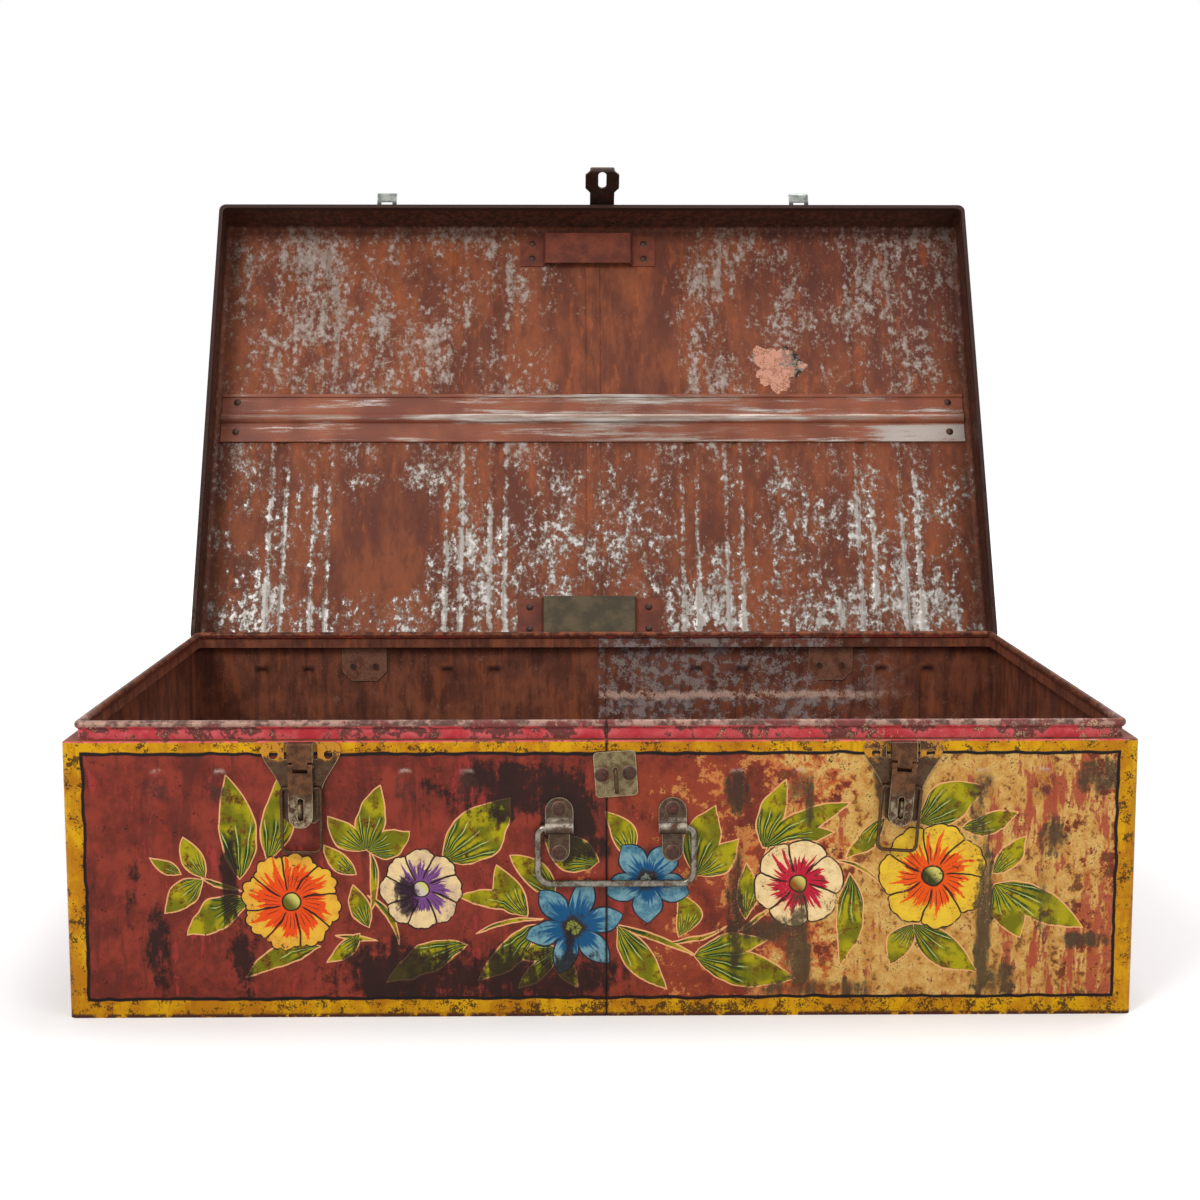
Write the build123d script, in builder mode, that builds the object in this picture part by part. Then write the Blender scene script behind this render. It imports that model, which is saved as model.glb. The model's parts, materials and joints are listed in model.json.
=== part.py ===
from build123d import *
import os
from math import cos, radians, sin

# A small trunk of thin tinned steel, standing open.  Millimetres, +Z up, front towards -Y.
# The origin lies on the surface that the trunk stands on, under the middle of the body.

# ---------------------------------------------------------------- driving dimensions
# body
body_width = 610.0
body_depth = 374.0
shoulder_height = 161.0      # height of the ledge that the closed lid rests on
body_corner = 4.0
shoulder_round = 1.2
sheet = 1.0                  # walls, lid and floor
floor_flange = 11.0          # turned-up edge of the floor pan
floor_clearance = 0.2

# rim that stands inside the closed lid
rim_inset = 7.2
rim_rise = 10.7
rim_wire_diameter = 3.0
rim_curl_sheet = 0.9
wire_clearance = 0.1

# seams where the two halves are lapped
body_seam_x = 2.5
lid_seam_x = 3.5
seam_gap = 0.4
lap_width = 14.0
lap_root = 5.0
lid_lap_width = 9.0
lid_lap_root = 2.0
lid_lap_gap = 1.0

# pressed ribs: pairs of upright swages in the front, the back and the lid
inner_rib_pair = 94.0         # middle of the body to the middle of a pair
outer_rib_pair_inset = 71.0   # middle of a pair to the body's side
rib_pair_spacing = 35.0
rib_width = 12.0
rib_height = 1.8
rib_foot = 16.0
rib_head_gap = 17.0          # from the top of a wall rib to the shoulder
lid_rib_margin = 15.0

# lid
lid_overhang = 1.5           # how far the lid stands out past the body on each side
lid_skirt = 38.0
lid_gap = 0.3                # between the closed lid's edge and the ledge
lid_round = 5.0
lid_hem = 3.0
lid_hem_height = 5.0
open_angle = 116.5

# sheet hinges on the back
plate = 1.2
hinge_insets = (131.0, 127.0)  # from the body's left and right sides
hinge_width = 33.0
hinge_pin_diameter = 3.0
hinge_leaf_height = 27.0
hinge_lid_leaf_height = 24.0
hinge_corner = 7.0
hinge_seat_gap = 0.3
hinge_pin_overhang = 1.0
hinge_rivet_edge = 8.0       # from a leaf's side to its rivet
hinge_rivet_drop = 16.0      # below the shoulder
lid_hinge_rivet_height = 14.0  # above the lid's edge
backing_gap = 1.0            # backing plate below the shoulder
joggle_run = 4.0
running_clearance = 0.05
knuckle_gap = 0.35           # round a knuckle
knuckle_side_gap = 0.2       # between knuckles

# rivets
rivet_shank_diameter = 2.6
rivet_fit = 0.05
small_rivet_head = 6.0
large_rivet_head = 8.6
rivet_dome = 1.6
rivet_tail = 5.0
rivet_tail_height = 0.9
drill_margin = 0.5           # how far a drill starts and ends outside the sheets

# toggle latches
latch_insets = (135.0, 134.4)  # from the body's left and right sides
latch_leans = (0.0, -4.0)    # the right-hand one hangs askew
latch_pin_drop = 14.0        # heights on the front are measured down from the shoulder
latch_pin_diameter = 2.0
latch_pin_overhang = 0.5
latch_stand = 3.8            # pin axis in front of the wall
latch_top_drop = 0.2
latch_ear_span = 45.0
latch_ear_radius = 4.6
latch_ear_foot_drop = 15.2
latch_waist = 24.0
latch_waist_drop = 26.0
latch_foot_width = 21.0
latch_foot_drop = 47.0
latch_foot_corner = 3.0
latch_rivet_drop = 21.5
latch_strap_width = 14.6
latch_strap_fold = 1.6
latch_knuckle = 8.0          # width of the middle knuckle on the base
latch_notch = 3.0            # room for the lever's knuckles, above and below the pin
window_width = 2.2           # slots either side of the strap where it was cut free
window_drops = (1.6, 10.0)
ear_hole_diameter = 5.0
ear_hole_x = 15.5
ear_hole_drop = 7.5
lever_width = 13.8
lever_length = 34.5
lever_slot_width = 3.4
lever_slot_length = 13.0
lever_slot_centre = 24.2     # below the pin
lever_notch = 3.2            # room for the base's knuckle
lever_tip = 5.0              # length of the turned-out tip
lever_lip = 2.0
cheek_height = 7.0
cheek_stand_off = 0.4
loop_pivot_drop = 12.5
loop_wire = 2.0
loop_width = 24.0
loop_length = 36.6
loop_corner = 3.5
loop_end_inside = 4.9
loop_shoulder = 1.8
loop_setback = 0.5           # loop pivot nearer the wall than the pin
padlock_eye_span = 7.5
padlock_eye_reach = 11.0
eye_wire = 2.0

# keepers on the lid that the loops pull down on
keeper_width = 16.0
keeper_top_gap = 3.0         # below the top of the lid
keeper_rivets = (18.0, 30.0)
keeper_rivet_shift = 3.2
keeper_play = 0.9
keeper_reach = 15.0          # how far the hook stands out from the skirt
keeper_bend = 2.0
keeper_lip = 5.0
keeper_lip_flare = 20.0
keeper_window = (9.0, 4.5)   # hole at the foot of the hook

# hasp and staple
staple_centre_x = 7.6
staple_centre_drop = 19.0
staple_plate_width = 24.0
staple_plate_height = 26.0
staple_corner = 2.5
staple_rivet_edge = 4.2
staple_turn = 4.0
staple_wire = 2.4
staple_span = 12.1
staple_reach = 8.5
staple_drop = 3.5            # middle of the eye below the middle of its plate
hasp_pin_height = 15.0       # above the lid's edge
hasp_pin_diameter = 2.0
hasp_plate_height = 17.0
hasp_plate_width = 30.0
hasp_rivet_edge = 5.5
hasp_rivet_x = 9.5
hasp_pin_overhang = 0.8
hasp_knuckle = 10.0          # width of the tongue's knuckle
hasp_neck = 20.0
hasp_head = 27.5
hasp_shoulder = 24.0
hasp_corner = 5.0
hasp_length = 48.5
hasp_slot_width = 6.5
hasp_slot_length = 18.0
hasp_lip_radius = 2.0
hasp_lip = 1.5
hasp_swing = 13.5            # stands a little away from the lid's skirt

# carrying handle
handle_centre_x = 7.8
handle_wire = 4.0
handle_span = 88.6           # between the middles of the two legs
handle_drop = 32.2
handle_pivot_drop = 50.0
handle_corner = 7.0
handle_top_corner = 4.0
handle_clearance = 0.4
handle_end_inside = 25.0
bracket_inner = 24.2
bracket_outer = 40.2
bracket_high = 17.5          # heights measured from the pivot
bracket_low = -19.5
bracket_rivets = (11.0, -14.4)
bracket_foot_width = 12.0
tunnel_clearance = 0.3

# stiffeners inside the lid
strap_near = 183.0           # distances from the hinge pin towards the lid's front
strap_far = 225.0
strap_side_gap = 5.0
strap_bead = 4.0
strap_bead_rise = 2.6
strap_fold = 2.4
strap_rivet_edges = (9.0, 7.0)
strap_rivet_end = 12.0
bridge_centre_x = -4.0
bridge_plate = 74.0
bridge_span = 112.0
bridge_rise = 6.0
bridge_rivet_edge = 7.0
rear_bridge = (17.0, 49.0)
front_bridge_margins = (37.0, 9.0)   # from the lid's front

# ---------------------------------------------------------------- worked out
front_y = -body_depth / 2
back_y = body_depth / 2
body_inner_width = body_width - 2 * sheet
body_inner_depth = body_depth - 2 * sheet
rim_width = body_width - 2 * rim_inset
rim_depth = body_depth - 2 * rim_inset
rim_corner = body_corner
curl_bore = rim_wire_diameter / 2 + wire_clearance
curl_radius = curl_bore + rim_curl_sheet
curl_height = shoulder_height + rim_rise - curl_radius
rib_radius = (rib_width**2 / 4 + rib_height**2) / (2 * rib_height)
rib_depth = rib_radius - rib_height          # axis of the rib's cylinder behind the face
rib_half_width = rib_width / 2
rib_pair_centres = (inner_rib_pair, body_width / 2 - outer_rib_pair_inset)
rib_xs = [
    side * (centre + step * rib_pair_spacing / 2)
    for side in (-1, 1)
    for centre in rib_pair_centres
    for step in (-1, 1)
]
rib_top = shoulder_height - rib_head_gap

hinge_centres = (hinge_insets[0] - body_width / 2, body_width / 2 - hinge_insets[1])
latch_centres = (latch_insets[0] - body_width / 2, body_width / 2 - latch_insets[1])

lid_width = body_width + 2 * lid_overhang
lid_depth = body_depth + 2 * lid_overhang
lid_corner = body_corner + lid_overhang
lid_edge_z = shoulder_height + lid_gap
lid_top_z = lid_edge_z + lid_skirt
lid_front_y = -lid_depth / 2
lid_back_y = lid_depth / 2
panel_inner_z = lid_top_z - sheet
keeper_top = lid_skirt - keeper_top_gap

hinge_pin_radius = hinge_pin_diameter / 2
hinge_bore = hinge_pin_radius + running_clearance
hinge_ring = hinge_bore + plate
pin_y = lid_back_y + hinge_seat_gap + hinge_ring
pin_z = shoulder_height
lid_reach = pin_y - lid_front_y
front_bridge = tuple(lid_reach - margin for margin in front_bridge_margins)

rivet_shank = rivet_shank_diameter / 2
rivet_hole = rivet_shank + rivet_fit

latch_bore = latch_pin_diameter / 2 + running_clearance
latch_ring = latch_bore + plate
lever_face = latch_bore + plate / 2          # middle of the lever's sheet from the pin axis
latch_pin_height = shoulder_height - latch_pin_drop
latch_top = shoulder_height - latch_top_drop
latch_foot = shoulder_height - latch_foot_drop
latch_rivet_height = shoulder_height - latch_rivet_drop
ear_hole_height = shoulder_height - ear_hole_drop
loop_pivot_height = latch_pin_height - loop_pivot_drop
loop_stand = latch_stand - loop_setback

hasp_bore = hasp_pin_diameter / 2 + running_clearance
hasp_ring = hasp_bore + plate
hasp_pin_y = lid_front_y - hinge_seat_gap - hasp_ring
hasp_pin_z = lid_edge_z + hasp_pin_height
staple_centre_height = shoulder_height - staple_centre_drop
hasp_slot_centre = hasp_pin_z - staple_centre_height + staple_drop

handle_radius = handle_wire / 2
handle_stand = handle_radius + handle_clearance
handle_height = shoulder_height - handle_pivot_drop

# the closed lid, swung back about the hinge pin
hinge_axis = Location((0, pin_y, pin_z))
lid_open = hinge_axis * Location((0, 0, 0), (-open_angle, 0, 0)) * hinge_axis.inverse()
hasp_axis = Location((0, hasp_pin_y, hasp_pin_z))
hasp_out = hasp_axis * Location((0, 0, 0), (-hasp_swing, 0, 0)) * hasp_axis.inverse()


def opened(plane):
    """Where a plane of the closed lid lies while the lid stands open."""
    return Plane(lid_open * plane.location)


def front_face(x, y=front_y, height=0.0):
    """A plane on a front face, looking outwards: X to the right, Y up."""
    return Plane(origin=(x, y, height), x_dir=(1, 0, 0), z_dir=(0, -1, 0))


def back_face(x, y=back_y, height=0.0):
    """A plane on a back face, looking outwards: X to the left, Y up."""
    return Plane(origin=(x, y, height), x_dir=(-1, 0, 0), z_dir=(0, 1, 0))


def front_side(x, y, height):
    """A side view: X outwards from the front, Y up."""
    return Plane(origin=(x, y, height), x_dir=(0, -1, 0), z_dir=(-1, 0, 0))


def back_side(x, y, height):
    """A side view: X outwards from the back, Y up."""
    return Plane(origin=(x, y, height), x_dir=(0, 1, 0), z_dir=(1, 0, 0))


def panel_face(x, distance=0.0):
    """A plane on the inside of the lid's panel: X to the right, Y from the hinge to the front."""
    closed = Plane(origin=(x, pin_y - distance, panel_inner_z), x_dir=(1, 0, 0), z_dir=(0, 0, -1))
    return opened(closed)


def leaned(x, height, lean):
    """A front plane at a latch pin, turned by the lean of that latch."""
    turn = radians(lean)
    return Plane(origin=(x, front_y, height), x_dir=(cos(turn), 0, sin(turn)), z_dir=(0, -1, 0))


def side_of(plane, outward):
    """The side view through a plane's origin, at a distance in front of it."""
    middle = plane.origin + plane.z_dir * outward
    return Plane(origin=middle, x_dir=plane.z_dir, z_dir=-plane.x_dir)


def rivet(head_diameter, grip):
    """A domed rivet on +Z, its head on z = 0 and its tail under the sheets that it grips."""
    head = head_diameter / 2
    with BuildPart() as made:
        with BuildSketch(Plane.XZ):
            with BuildLine():
                TangentArc((0, rivet_dome), (head, 0), tangent=(1, 0))
                Polyline(
                    (head, 0),
                    (rivet_shank, 0),
                    (rivet_shank, -grip),
                    (rivet_tail / 2, -grip),
                    (rivet_tail / 2, -grip - rivet_tail_height),
                    (0, -grip - rivet_tail_height),
                    (0, rivet_dome),
                )
            make_face()
        revolve(axis=Axis.Z)
    return made.part


def curled_sheet(view, seat, reach, bore):
    """Side view of a sheet that lies `seat` behind a pin, runs to `reach` and curls round it."""
    ring = bore + plate
    way = 1 if reach > 0 else -1
    flat_x = plate / 2 - seat
    tangent_x = -bore - plate / 2
    with BuildSketch(view) as profile:
        with BuildLine():
            Polyline(
                (flat_x, reach),
                (flat_x, way * (ring + joggle_run)),
                (tangent_x, way * ring / 2),
                (tangent_x, 0),
            )
        trace(line_width=plate)
        Circle(ring)
        Circle(bore, mode=Mode.SUBTRACT)
    return profile.sketch


def clear_knuckles(view, spans, radius):
    """Cut room round a pin for the other leaf's knuckles, over spans along the pin."""
    for start, end in spans:
        with BuildSketch(view.offset(start)) as room:
            Circle(radius)
        extrude(room.sketch, amount=end - start, mode=Mode.SUBTRACT)


def bent_wire(plane, points, radii, wire):
    """A bent wire along a line of points on a plane."""
    with BuildPart() as bent:
        with BuildLine(plane) as run:
            FilletPolyline(*points, radius=radii)
        with BuildSketch(Plane(run.line @ 0, z_dir=run.line % 0)):
            Circle(wire / 2)
        sweep(path=run.line)
    return bent.part


def save(builder, name):
    """Give a finished piece its name and write it."""
    builder.part.label = name
    export_step(builder.part, "parts/" + name + ".step")


os.makedirs("parts", exist_ok=True)

# ---------------------------------------------------------------- where the rivets go
latch_rivet_sites = [front_face(x, height=latch_rivet_height) for x in latch_centres]
staple_turned = Plane(
    origin=(staple_centre_x, front_y, staple_centre_height),
    x_dir=(cos(radians(staple_turn)), 0, sin(radians(staple_turn))),
    z_dir=(0, -1, 0),
)
staple_rivet_x = staple_plate_width / 2 - staple_rivet_edge
staple_rivet_sites = [
    Plane(staple_turned.location * Location((side * staple_rivet_x, 0, 0))) for side in (-1, 1)
]
bracket_middle = (bracket_inner + bracket_outer) / 2
bracket_xs = (handle_centre_x - bracket_middle, handle_centre_x + bracket_middle)
bracket_sites = [
    front_face(x, height=handle_height + rise) for x in bracket_xs for rise in bracket_rivets
]
hinge_rivet_x = hinge_width / 2 - hinge_rivet_edge
hinge_rivet_height = shoulder_height - hinge_rivet_drop
hinge_sites = [
    back_face(x + side * hinge_rivet_x, height=hinge_rivet_height)
    for x in hinge_centres
    for side in (-1, 1)
]
lid_hinge_height = lid_edge_z + lid_hinge_rivet_height
lid_hinge_sites = [
    opened(back_face(x + side * hinge_rivet_x, lid_back_y, lid_hinge_height))
    for x in hinge_centres
    for side in (-1, 1)
]
keeper_sites = [
    opened(front_face(x + side * keeper_rivet_shift, lid_front_y, lid_edge_z + height))
    for x in latch_centres
    for side, height in zip((1, -1), keeper_rivets)
]
hasp_rivet_height = hasp_pin_z + hasp_plate_height - hasp_rivet_edge
hasp_sites = [
    opened(front_face(staple_centre_x + side * hasp_rivet_x, lid_front_y, hasp_rivet_height))
    for side in (-1, 1)
]
flange_middle = (bridge_plate + bridge_span) / 4
bridge_sites = [
    panel_face(bridge_centre_x + side * flange_middle, distance)
    for side in (-1, 1)
    for near, far in (rear_bridge, front_bridge)
    for distance in (near + bridge_rivet_edge, far - bridge_rivet_edge)
]
strap_end_x = lid_width / 2 - sheet - strap_side_gap - strap_rivet_end
strap_sites = [
    panel_face(side * strap_end_x, distance)
    for side in (-1, 1)
    for distance in (strap_near + strap_rivet_edges[0], strap_far - strap_rivet_edges[1])
]
latch_planes = [
    leaned(x, latch_pin_height, lean) for x, lean in zip(latch_centres, latch_leans)
]
eye_legs = [
    Plane(plane.location * Location((0, side * padlock_eye_span / 2 - lever_slot_centre, 0)))
    for plane in latch_planes
    for side in (-1, 1)
]
staple_legs = [
    Plane(staple_turned.location * Location((0, side * staple_span / 2 - staple_drop, 0)))
    for side in (-1, 1)
]
front_wall_sites = latch_rivet_sites + staple_rivet_sites + bracket_sites


def drill(planes, radius, front, back):
    """Cut a round hole through each plane, from a distance in front of it to one behind it."""
    for plane in planes:
        with BuildSketch(plane.offset(front + drill_margin)) as hole:
            Circle(radius)
        extrude(hole.sketch, amount=-front - back - 2 * drill_margin, mode=Mode.SUBTRACT)


# ---------------------------------------------------------------- body walls
wall_ribs = [(x, side * (back_y - rib_depth)) for x in rib_xs for side in (-1, 1)]
rib_low_z = rib_foot + rib_half_width
rib_high_z = rib_top - rib_half_width


def wall_ribs_of(radius, mode):
    """The upright swages as round-ended bars, to be added outside or cut inside."""
    for x, y in wall_ribs:
        with BuildSketch(Plane(origin=(x, y, rib_low_z))) as section:
            Circle(radius)
        extrude(section.sketch, amount=rib_high_z - rib_low_z, mode=mode)
        with Locations((x, y, rib_low_z), (x, y, rib_high_z)):
            Sphere(radius, mode=mode)


with BuildSketch(Plane.XY.offset(curl_height)) as curl_outline:
    RectangleRounded(rim_width - sheet, rim_depth - sheet, rim_corner - sheet / 2)
curl_path = curl_outline.sketch.faces()[0].outer_wire()
curl_start = Plane(curl_path @ 0, z_dir=curl_path % 0)

with BuildPart() as body_shell:
    with BuildSketch():
        RectangleRounded(body_width, body_depth, body_corner)
    extrude(amount=shoulder_height)
    fillet(body_shell.faces().sort_by(Axis.Z)[-1].edges(), shoulder_round)
    wall_ribs_of(rib_radius, Mode.ADD)
    with BuildSketch(Plane.XY.offset(shoulder_height)):
        RectangleRounded(rim_width, rim_depth, rim_corner)
    extrude(amount=curl_height - shoulder_height)
    with BuildSketch(Plane.XY.offset(-sheet)):
        RectangleRounded(body_inner_width, body_inner_depth, body_corner - sheet)
    extrude(amount=shoulder_height, mode=Mode.SUBTRACT)
    wall_ribs_of(rib_radius - sheet, Mode.SUBTRACT)
    with BuildSketch(Plane.XY.offset(shoulder_height - 2 * sheet)):
        RectangleRounded(rim_width - 2 * sheet, rim_depth - 2 * sheet, rim_corner - sheet)
    extrude(amount=rim_rise + 2 * sheet, mode=Mode.SUBTRACT)
    with BuildSketch(curl_start):
        Circle(curl_radius)
    sweep(path=curl_path)
    with BuildSketch(curl_start):
        Circle(curl_bore)
    sweep(path=curl_path, mode=Mode.SUBTRACT)
    drill(front_wall_sites + hinge_sites, rivet_hole, 0, sheet)
    drill(eye_legs, eye_wire / 2 + rivet_fit, 0, sheet)
    drill(staple_legs, staple_wire / 2 + rivet_fit, 0, sheet)

body_cuts = {
    "left": (Keep.BOTTOM, body_seam_x - seam_gap / 2),
    "right": (Keep.TOP, body_seam_x + seam_gap / 2),
}
lap_foot = floor_flange + floor_clearance
lap_top = shoulder_height - 2 * sheet
for hand, (kept, seam_x) in body_cuts.items():
    with BuildPart() as body_wall:
        add(body_shell.part)
        split(bisect_by=Plane.YZ.offset(seam_x), keep=kept)
        if hand == "right":
            for side in (-1, 1):
                lap_y = side * (body_inner_depth / 2 - sheet / 2)
                with BuildSketch(Plane(origin=(seam_x + (lap_root - lap_width) / 2, lap_y, lap_foot))):
                    Rectangle(lap_width + lap_root, sheet)
                extrude(amount=lap_top - lap_foot)
            drill(staple_rivet_sites, rivet_hole, 0, 2 * sheet)
            drill(staple_legs, staple_wire / 2 + rivet_fit, 0, 2 * sheet)
    save(body_wall, "body_wall_" + hand)

with BuildPart() as rim_wire:
    with BuildSketch(curl_start):
        Circle(rim_wire_diameter / 2)
    sweep(path=curl_path)
save(rim_wire, "rim_wire")

with BuildPart() as body_floor:
    with BuildSketch():
        RectangleRounded(
            body_inner_width - 2 * floor_clearance,
            body_inner_depth - 2 * floor_clearance,
            body_corner - sheet,
        )
    extrude(amount=floor_flange)
    with BuildSketch(Plane.XY.offset(sheet)):
        RectangleRounded(
            body_inner_width - 2 * floor_clearance - 2 * sheet,
            body_inner_depth - 2 * floor_clearance - 2 * sheet,
            body_corner - 2 * sheet,
        )
    extrude(amount=floor_flange, mode=Mode.SUBTRACT)
save(body_floor, "body_floor")

# ---------------------------------------------------------------- lid pans
lid_up = opened(Plane.XY).z_dir
lid_rib_reach = lid_depth / 2 - lid_rib_margin - rib_half_width
lid_rib_z = lid_top_z - rib_depth


def lid_ribs_of(radius, mode):
    """The swages across the lid's panel as round-ended bars."""
    for x in rib_xs:
        near = opened(front_face(x, lid_rib_reach, lid_rib_z))
        far = opened(front_face(x, -lid_rib_reach, lid_rib_z))
        with BuildSketch(near) as section:
            Circle(radius)
        extrude(section.sketch, amount=2 * lid_rib_reach, mode=mode)
        with Locations(near, far):
            Sphere(radius, mode=mode)


with BuildPart() as lid_hollow:
    with BuildSketch(opened(Plane.XY.offset(lid_edge_z + lid_hem_height))):
        RectangleRounded(lid_width - 2 * sheet, lid_depth - 2 * sheet, lid_corner - sheet)
    extrude(amount=lid_skirt - lid_hem_height - sheet)
    top_edges = lid_hollow.faces().sort_by(Axis((0, 0, 0), lid_up))[-1].edges()
    fillet(top_edges, lid_round - sheet)
    with BuildSketch(opened(Plane.XY.offset(lid_edge_z - drill_margin))):
        RectangleRounded(lid_width - 2 * lid_hem, lid_depth - 2 * lid_hem, lid_corner - sheet)
    extrude(amount=lid_hem_height + drill_margin)
    lid_ribs_of(rib_radius - sheet, Mode.ADD)

with BuildPart() as lid_shell:
    with BuildSketch(opened(Plane.XY.offset(lid_edge_z))):
        RectangleRounded(lid_width, lid_depth, lid_corner)
    extrude(amount=lid_skirt)
    top_edges = lid_shell.faces().sort_by(Axis((0, 0, 0), lid_up))[-1].edges()
    fillet(top_edges, lid_round)
    lid_ribs_of(rib_radius, Mode.ADD)
    add(lid_hollow.part, mode=Mode.SUBTRACT)
    drill(lid_hinge_sites + keeper_sites + hasp_sites, rivet_hole, 0, sheet)
    drill(bridge_sites + strap_sites, rivet_hole, 0, sheet)

lid_lap_spans = ((rear_bridge[1], strap_near), (strap_far, front_bridge[0]))
for hand, kept in (("left", Keep.BOTTOM), ("right", Keep.TOP)):
    with BuildPart() as lid_pan:
        add(lid_shell.part)
        split(bisect_by=Plane.YZ.offset(lid_seam_x), keep=kept)
        if hand == "right":
            for near, far in lid_lap_spans:
                lap_x = lid_seam_x + (lid_lap_root - lid_lap_width) / 2
                with BuildSketch(panel_face(lap_x, (near + far) / 2)):
                    Rectangle(lid_lap_width + lid_lap_root, far - near - 2 * lid_lap_gap)
                extrude(amount=sheet)
    save(lid_pan, "lid_pan_" + hand)

# ---------------------------------------------------------------- stiffeners inside the lid
strap_length = lid_width - 2 * sheet - 2 * strap_side_gap
strap_middle = (strap_near + strap_far) / 2
strap_view = Plane(origin=(-strap_length / 2, pin_y, panel_inner_z), x_dir=(0, -1, 0), z_dir=(1, 0, 0))
bead_radius = (strap_bead**2 + strap_bead_rise**2) / (2 * strap_bead_rise) + sheet
bead_depth = bead_radius - sheet - strap_bead_rise

with BuildPart() as lid_strap:
    with BuildSketch(opened(strap_view)):
        with Locations((strap_middle, sheet / 2)):
            Rectangle(strap_far - strap_near, sheet)
        with Locations((strap_near + strap_fold / 2, sheet), (strap_far - strap_fold / 2, sheet)):
            Rectangle(strap_fold, 2 * sheet)
        with Locations((strap_middle, -bead_depth)):
            Circle(bead_radius)
            Circle(bead_radius - sheet, mode=Mode.SUBTRACT)
        with Locations((strap_middle, -bead_radius)):
            Rectangle(strap_far - strap_near, 2 * bead_radius, mode=Mode.SUBTRACT)
    extrude(amount=strap_length)
    drill(strap_sites, rivet_hole, sheet, 0)
save(lid_strap, "lid_strap")

for place, (near, far) in (("front", front_bridge), ("rear", rear_bridge)):
    bridge_view = Plane(
        origin=(bridge_centre_x, pin_y - near, panel_inner_z), x_dir=(1, 0, 0), z_dir=(0, -1, 0)
    )
    with BuildPart() as lid_bridge:
        with BuildSketch(opened(bridge_view)):
            with BuildLine():
                Polyline(
                    (-bridge_span / 2, -sheet / 2),
                    (-bridge_plate / 2, -sheet / 2),
                    (-bridge_plate / 2 + bridge_rise / 3, -bridge_rise - sheet / 2),
                    (bridge_plate / 2 - bridge_rise / 3, -bridge_rise - sheet / 2),
                    (bridge_plate / 2, -sheet / 2),
                    (bridge_span / 2, -sheet / 2),
                )
            trace(line_width=sheet)
        extrude(amount=far - near)
        drill(bridge_sites, rivet_hole, sheet, 0)
    save(lid_bridge, "lid_bridge_" + place)


# ---------------------------------------------------------------- hinges on the back
hinge_third = hinge_width / 6
body_leaf_seat = pin_y - back_y
lid_leaf_seat = pin_y - lid_back_y
hinge_room = hinge_ring + knuckle_gap

for hand, hinge_x in zip(("left", "right"), hinge_centres):
    hinge_view = back_side(hinge_x, pin_y, pin_z)
    leaf_wall = back_face(hinge_x)
    lid_wall = opened(back_face(hinge_x, lid_back_y))
    with BuildPart() as body_leaf:
        extrude(
            curled_sheet(hinge_view, body_leaf_seat, -hinge_leaf_height, hinge_bore),
            amount=hinge_width / 2,
            both=True,
        )
        clear_knuckles(
            hinge_view,
            [(-hinge_third - knuckle_side_gap, hinge_third + knuckle_side_gap)],
            hinge_room,
        )
        with BuildSketch(leaf_wall):
            with BuildLine():
                Polyline(
                    (-hinge_width / 2, pin_z + 2 * hinge_ring),
                    (-hinge_width / 2, pin_z - hinge_leaf_height + hinge_corner),
                    (-hinge_width / 2 + hinge_corner, pin_z - hinge_leaf_height),
                    (hinge_width / 2 - hinge_corner, pin_z - hinge_leaf_height),
                    (hinge_width / 2, pin_z - hinge_leaf_height + hinge_corner),
                    (hinge_width / 2, pin_z + 2 * hinge_ring),
                    close=True,
                )
            make_face()
        extrude(amount=4 * hinge_ring, mode=Mode.INTERSECT)
        drill([site.offset(plate) for site in hinge_sites], rivet_hole, 0, plate)
    save(body_leaf, "hinge_" + hand + "_body_leaf")

    with BuildPart() as lid_leaf:
        extrude(
            curled_sheet(opened(hinge_view), lid_leaf_seat, hinge_lid_leaf_height, hinge_bore),
            amount=hinge_width / 2,
            both=True,
        )
        clear_knuckles(
            opened(hinge_view),
            [
                (-hinge_width, -hinge_third + knuckle_side_gap),
                (hinge_third - knuckle_side_gap, hinge_width),
            ],
            hinge_room,
        )
        with BuildSketch(lid_wall):
            with BuildLine():
                Polyline(
                    (-hinge_width / 2, pin_z - 2 * hinge_ring),
                    (-hinge_width / 2, pin_z + hinge_lid_leaf_height - hinge_corner),
                    (-hinge_width / 2 + hinge_corner, pin_z + hinge_lid_leaf_height),
                    (hinge_width / 2 - hinge_corner, pin_z + hinge_lid_leaf_height),
                    (hinge_width / 2, pin_z + hinge_lid_leaf_height - hinge_corner),
                    (hinge_width / 2, pin_z - 2 * hinge_ring),
                    close=True,
                )
            make_face()
        extrude(amount=4 * hinge_ring, mode=Mode.INTERSECT)
        drill([site.offset(plate) for site in lid_hinge_sites], rivet_hole, 0, plate)
    save(lid_leaf, "hinge_" + hand + "_lid_leaf")

    with BuildPart() as hinge_pin:
        with BuildSketch(hinge_view):
            Circle(hinge_pin_radius)
        extrude(amount=hinge_width / 2 + hinge_pin_overhang, both=True)
    save(hinge_pin, "hinge_" + hand + "_pin")

    with BuildPart() as backing:
        with BuildSketch(leaf_wall.offset(-sheet)):
            with Locations((0, pin_z - (hinge_leaf_height + backing_gap) / 2)):
                Rectangle(hinge_width, hinge_leaf_height - backing_gap)
            chamfer(vertices().group_by(Axis.Y)[0], hinge_corner)
        extrude(amount=-plate)
        drill(hinge_sites, rivet_hole, 0, sheet + plate)
    save(backing, "hinge_" + hand + "_backing_plate")

# ---------------------------------------------------------------- toggle latches on the front
strap_fold_y = latch_top - plate / 2 - latch_pin_height
knuckle_half = latch_knuckle / 2
wing_x = latch_ear_span / 2
waist_height = shoulder_height - latch_waist_drop
ear_foot = shoulder_height - latch_ear_foot_drop
window_middle = shoulder_height - sum(window_drops) / 2
window_height = window_drops[1] - window_drops[0]


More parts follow.
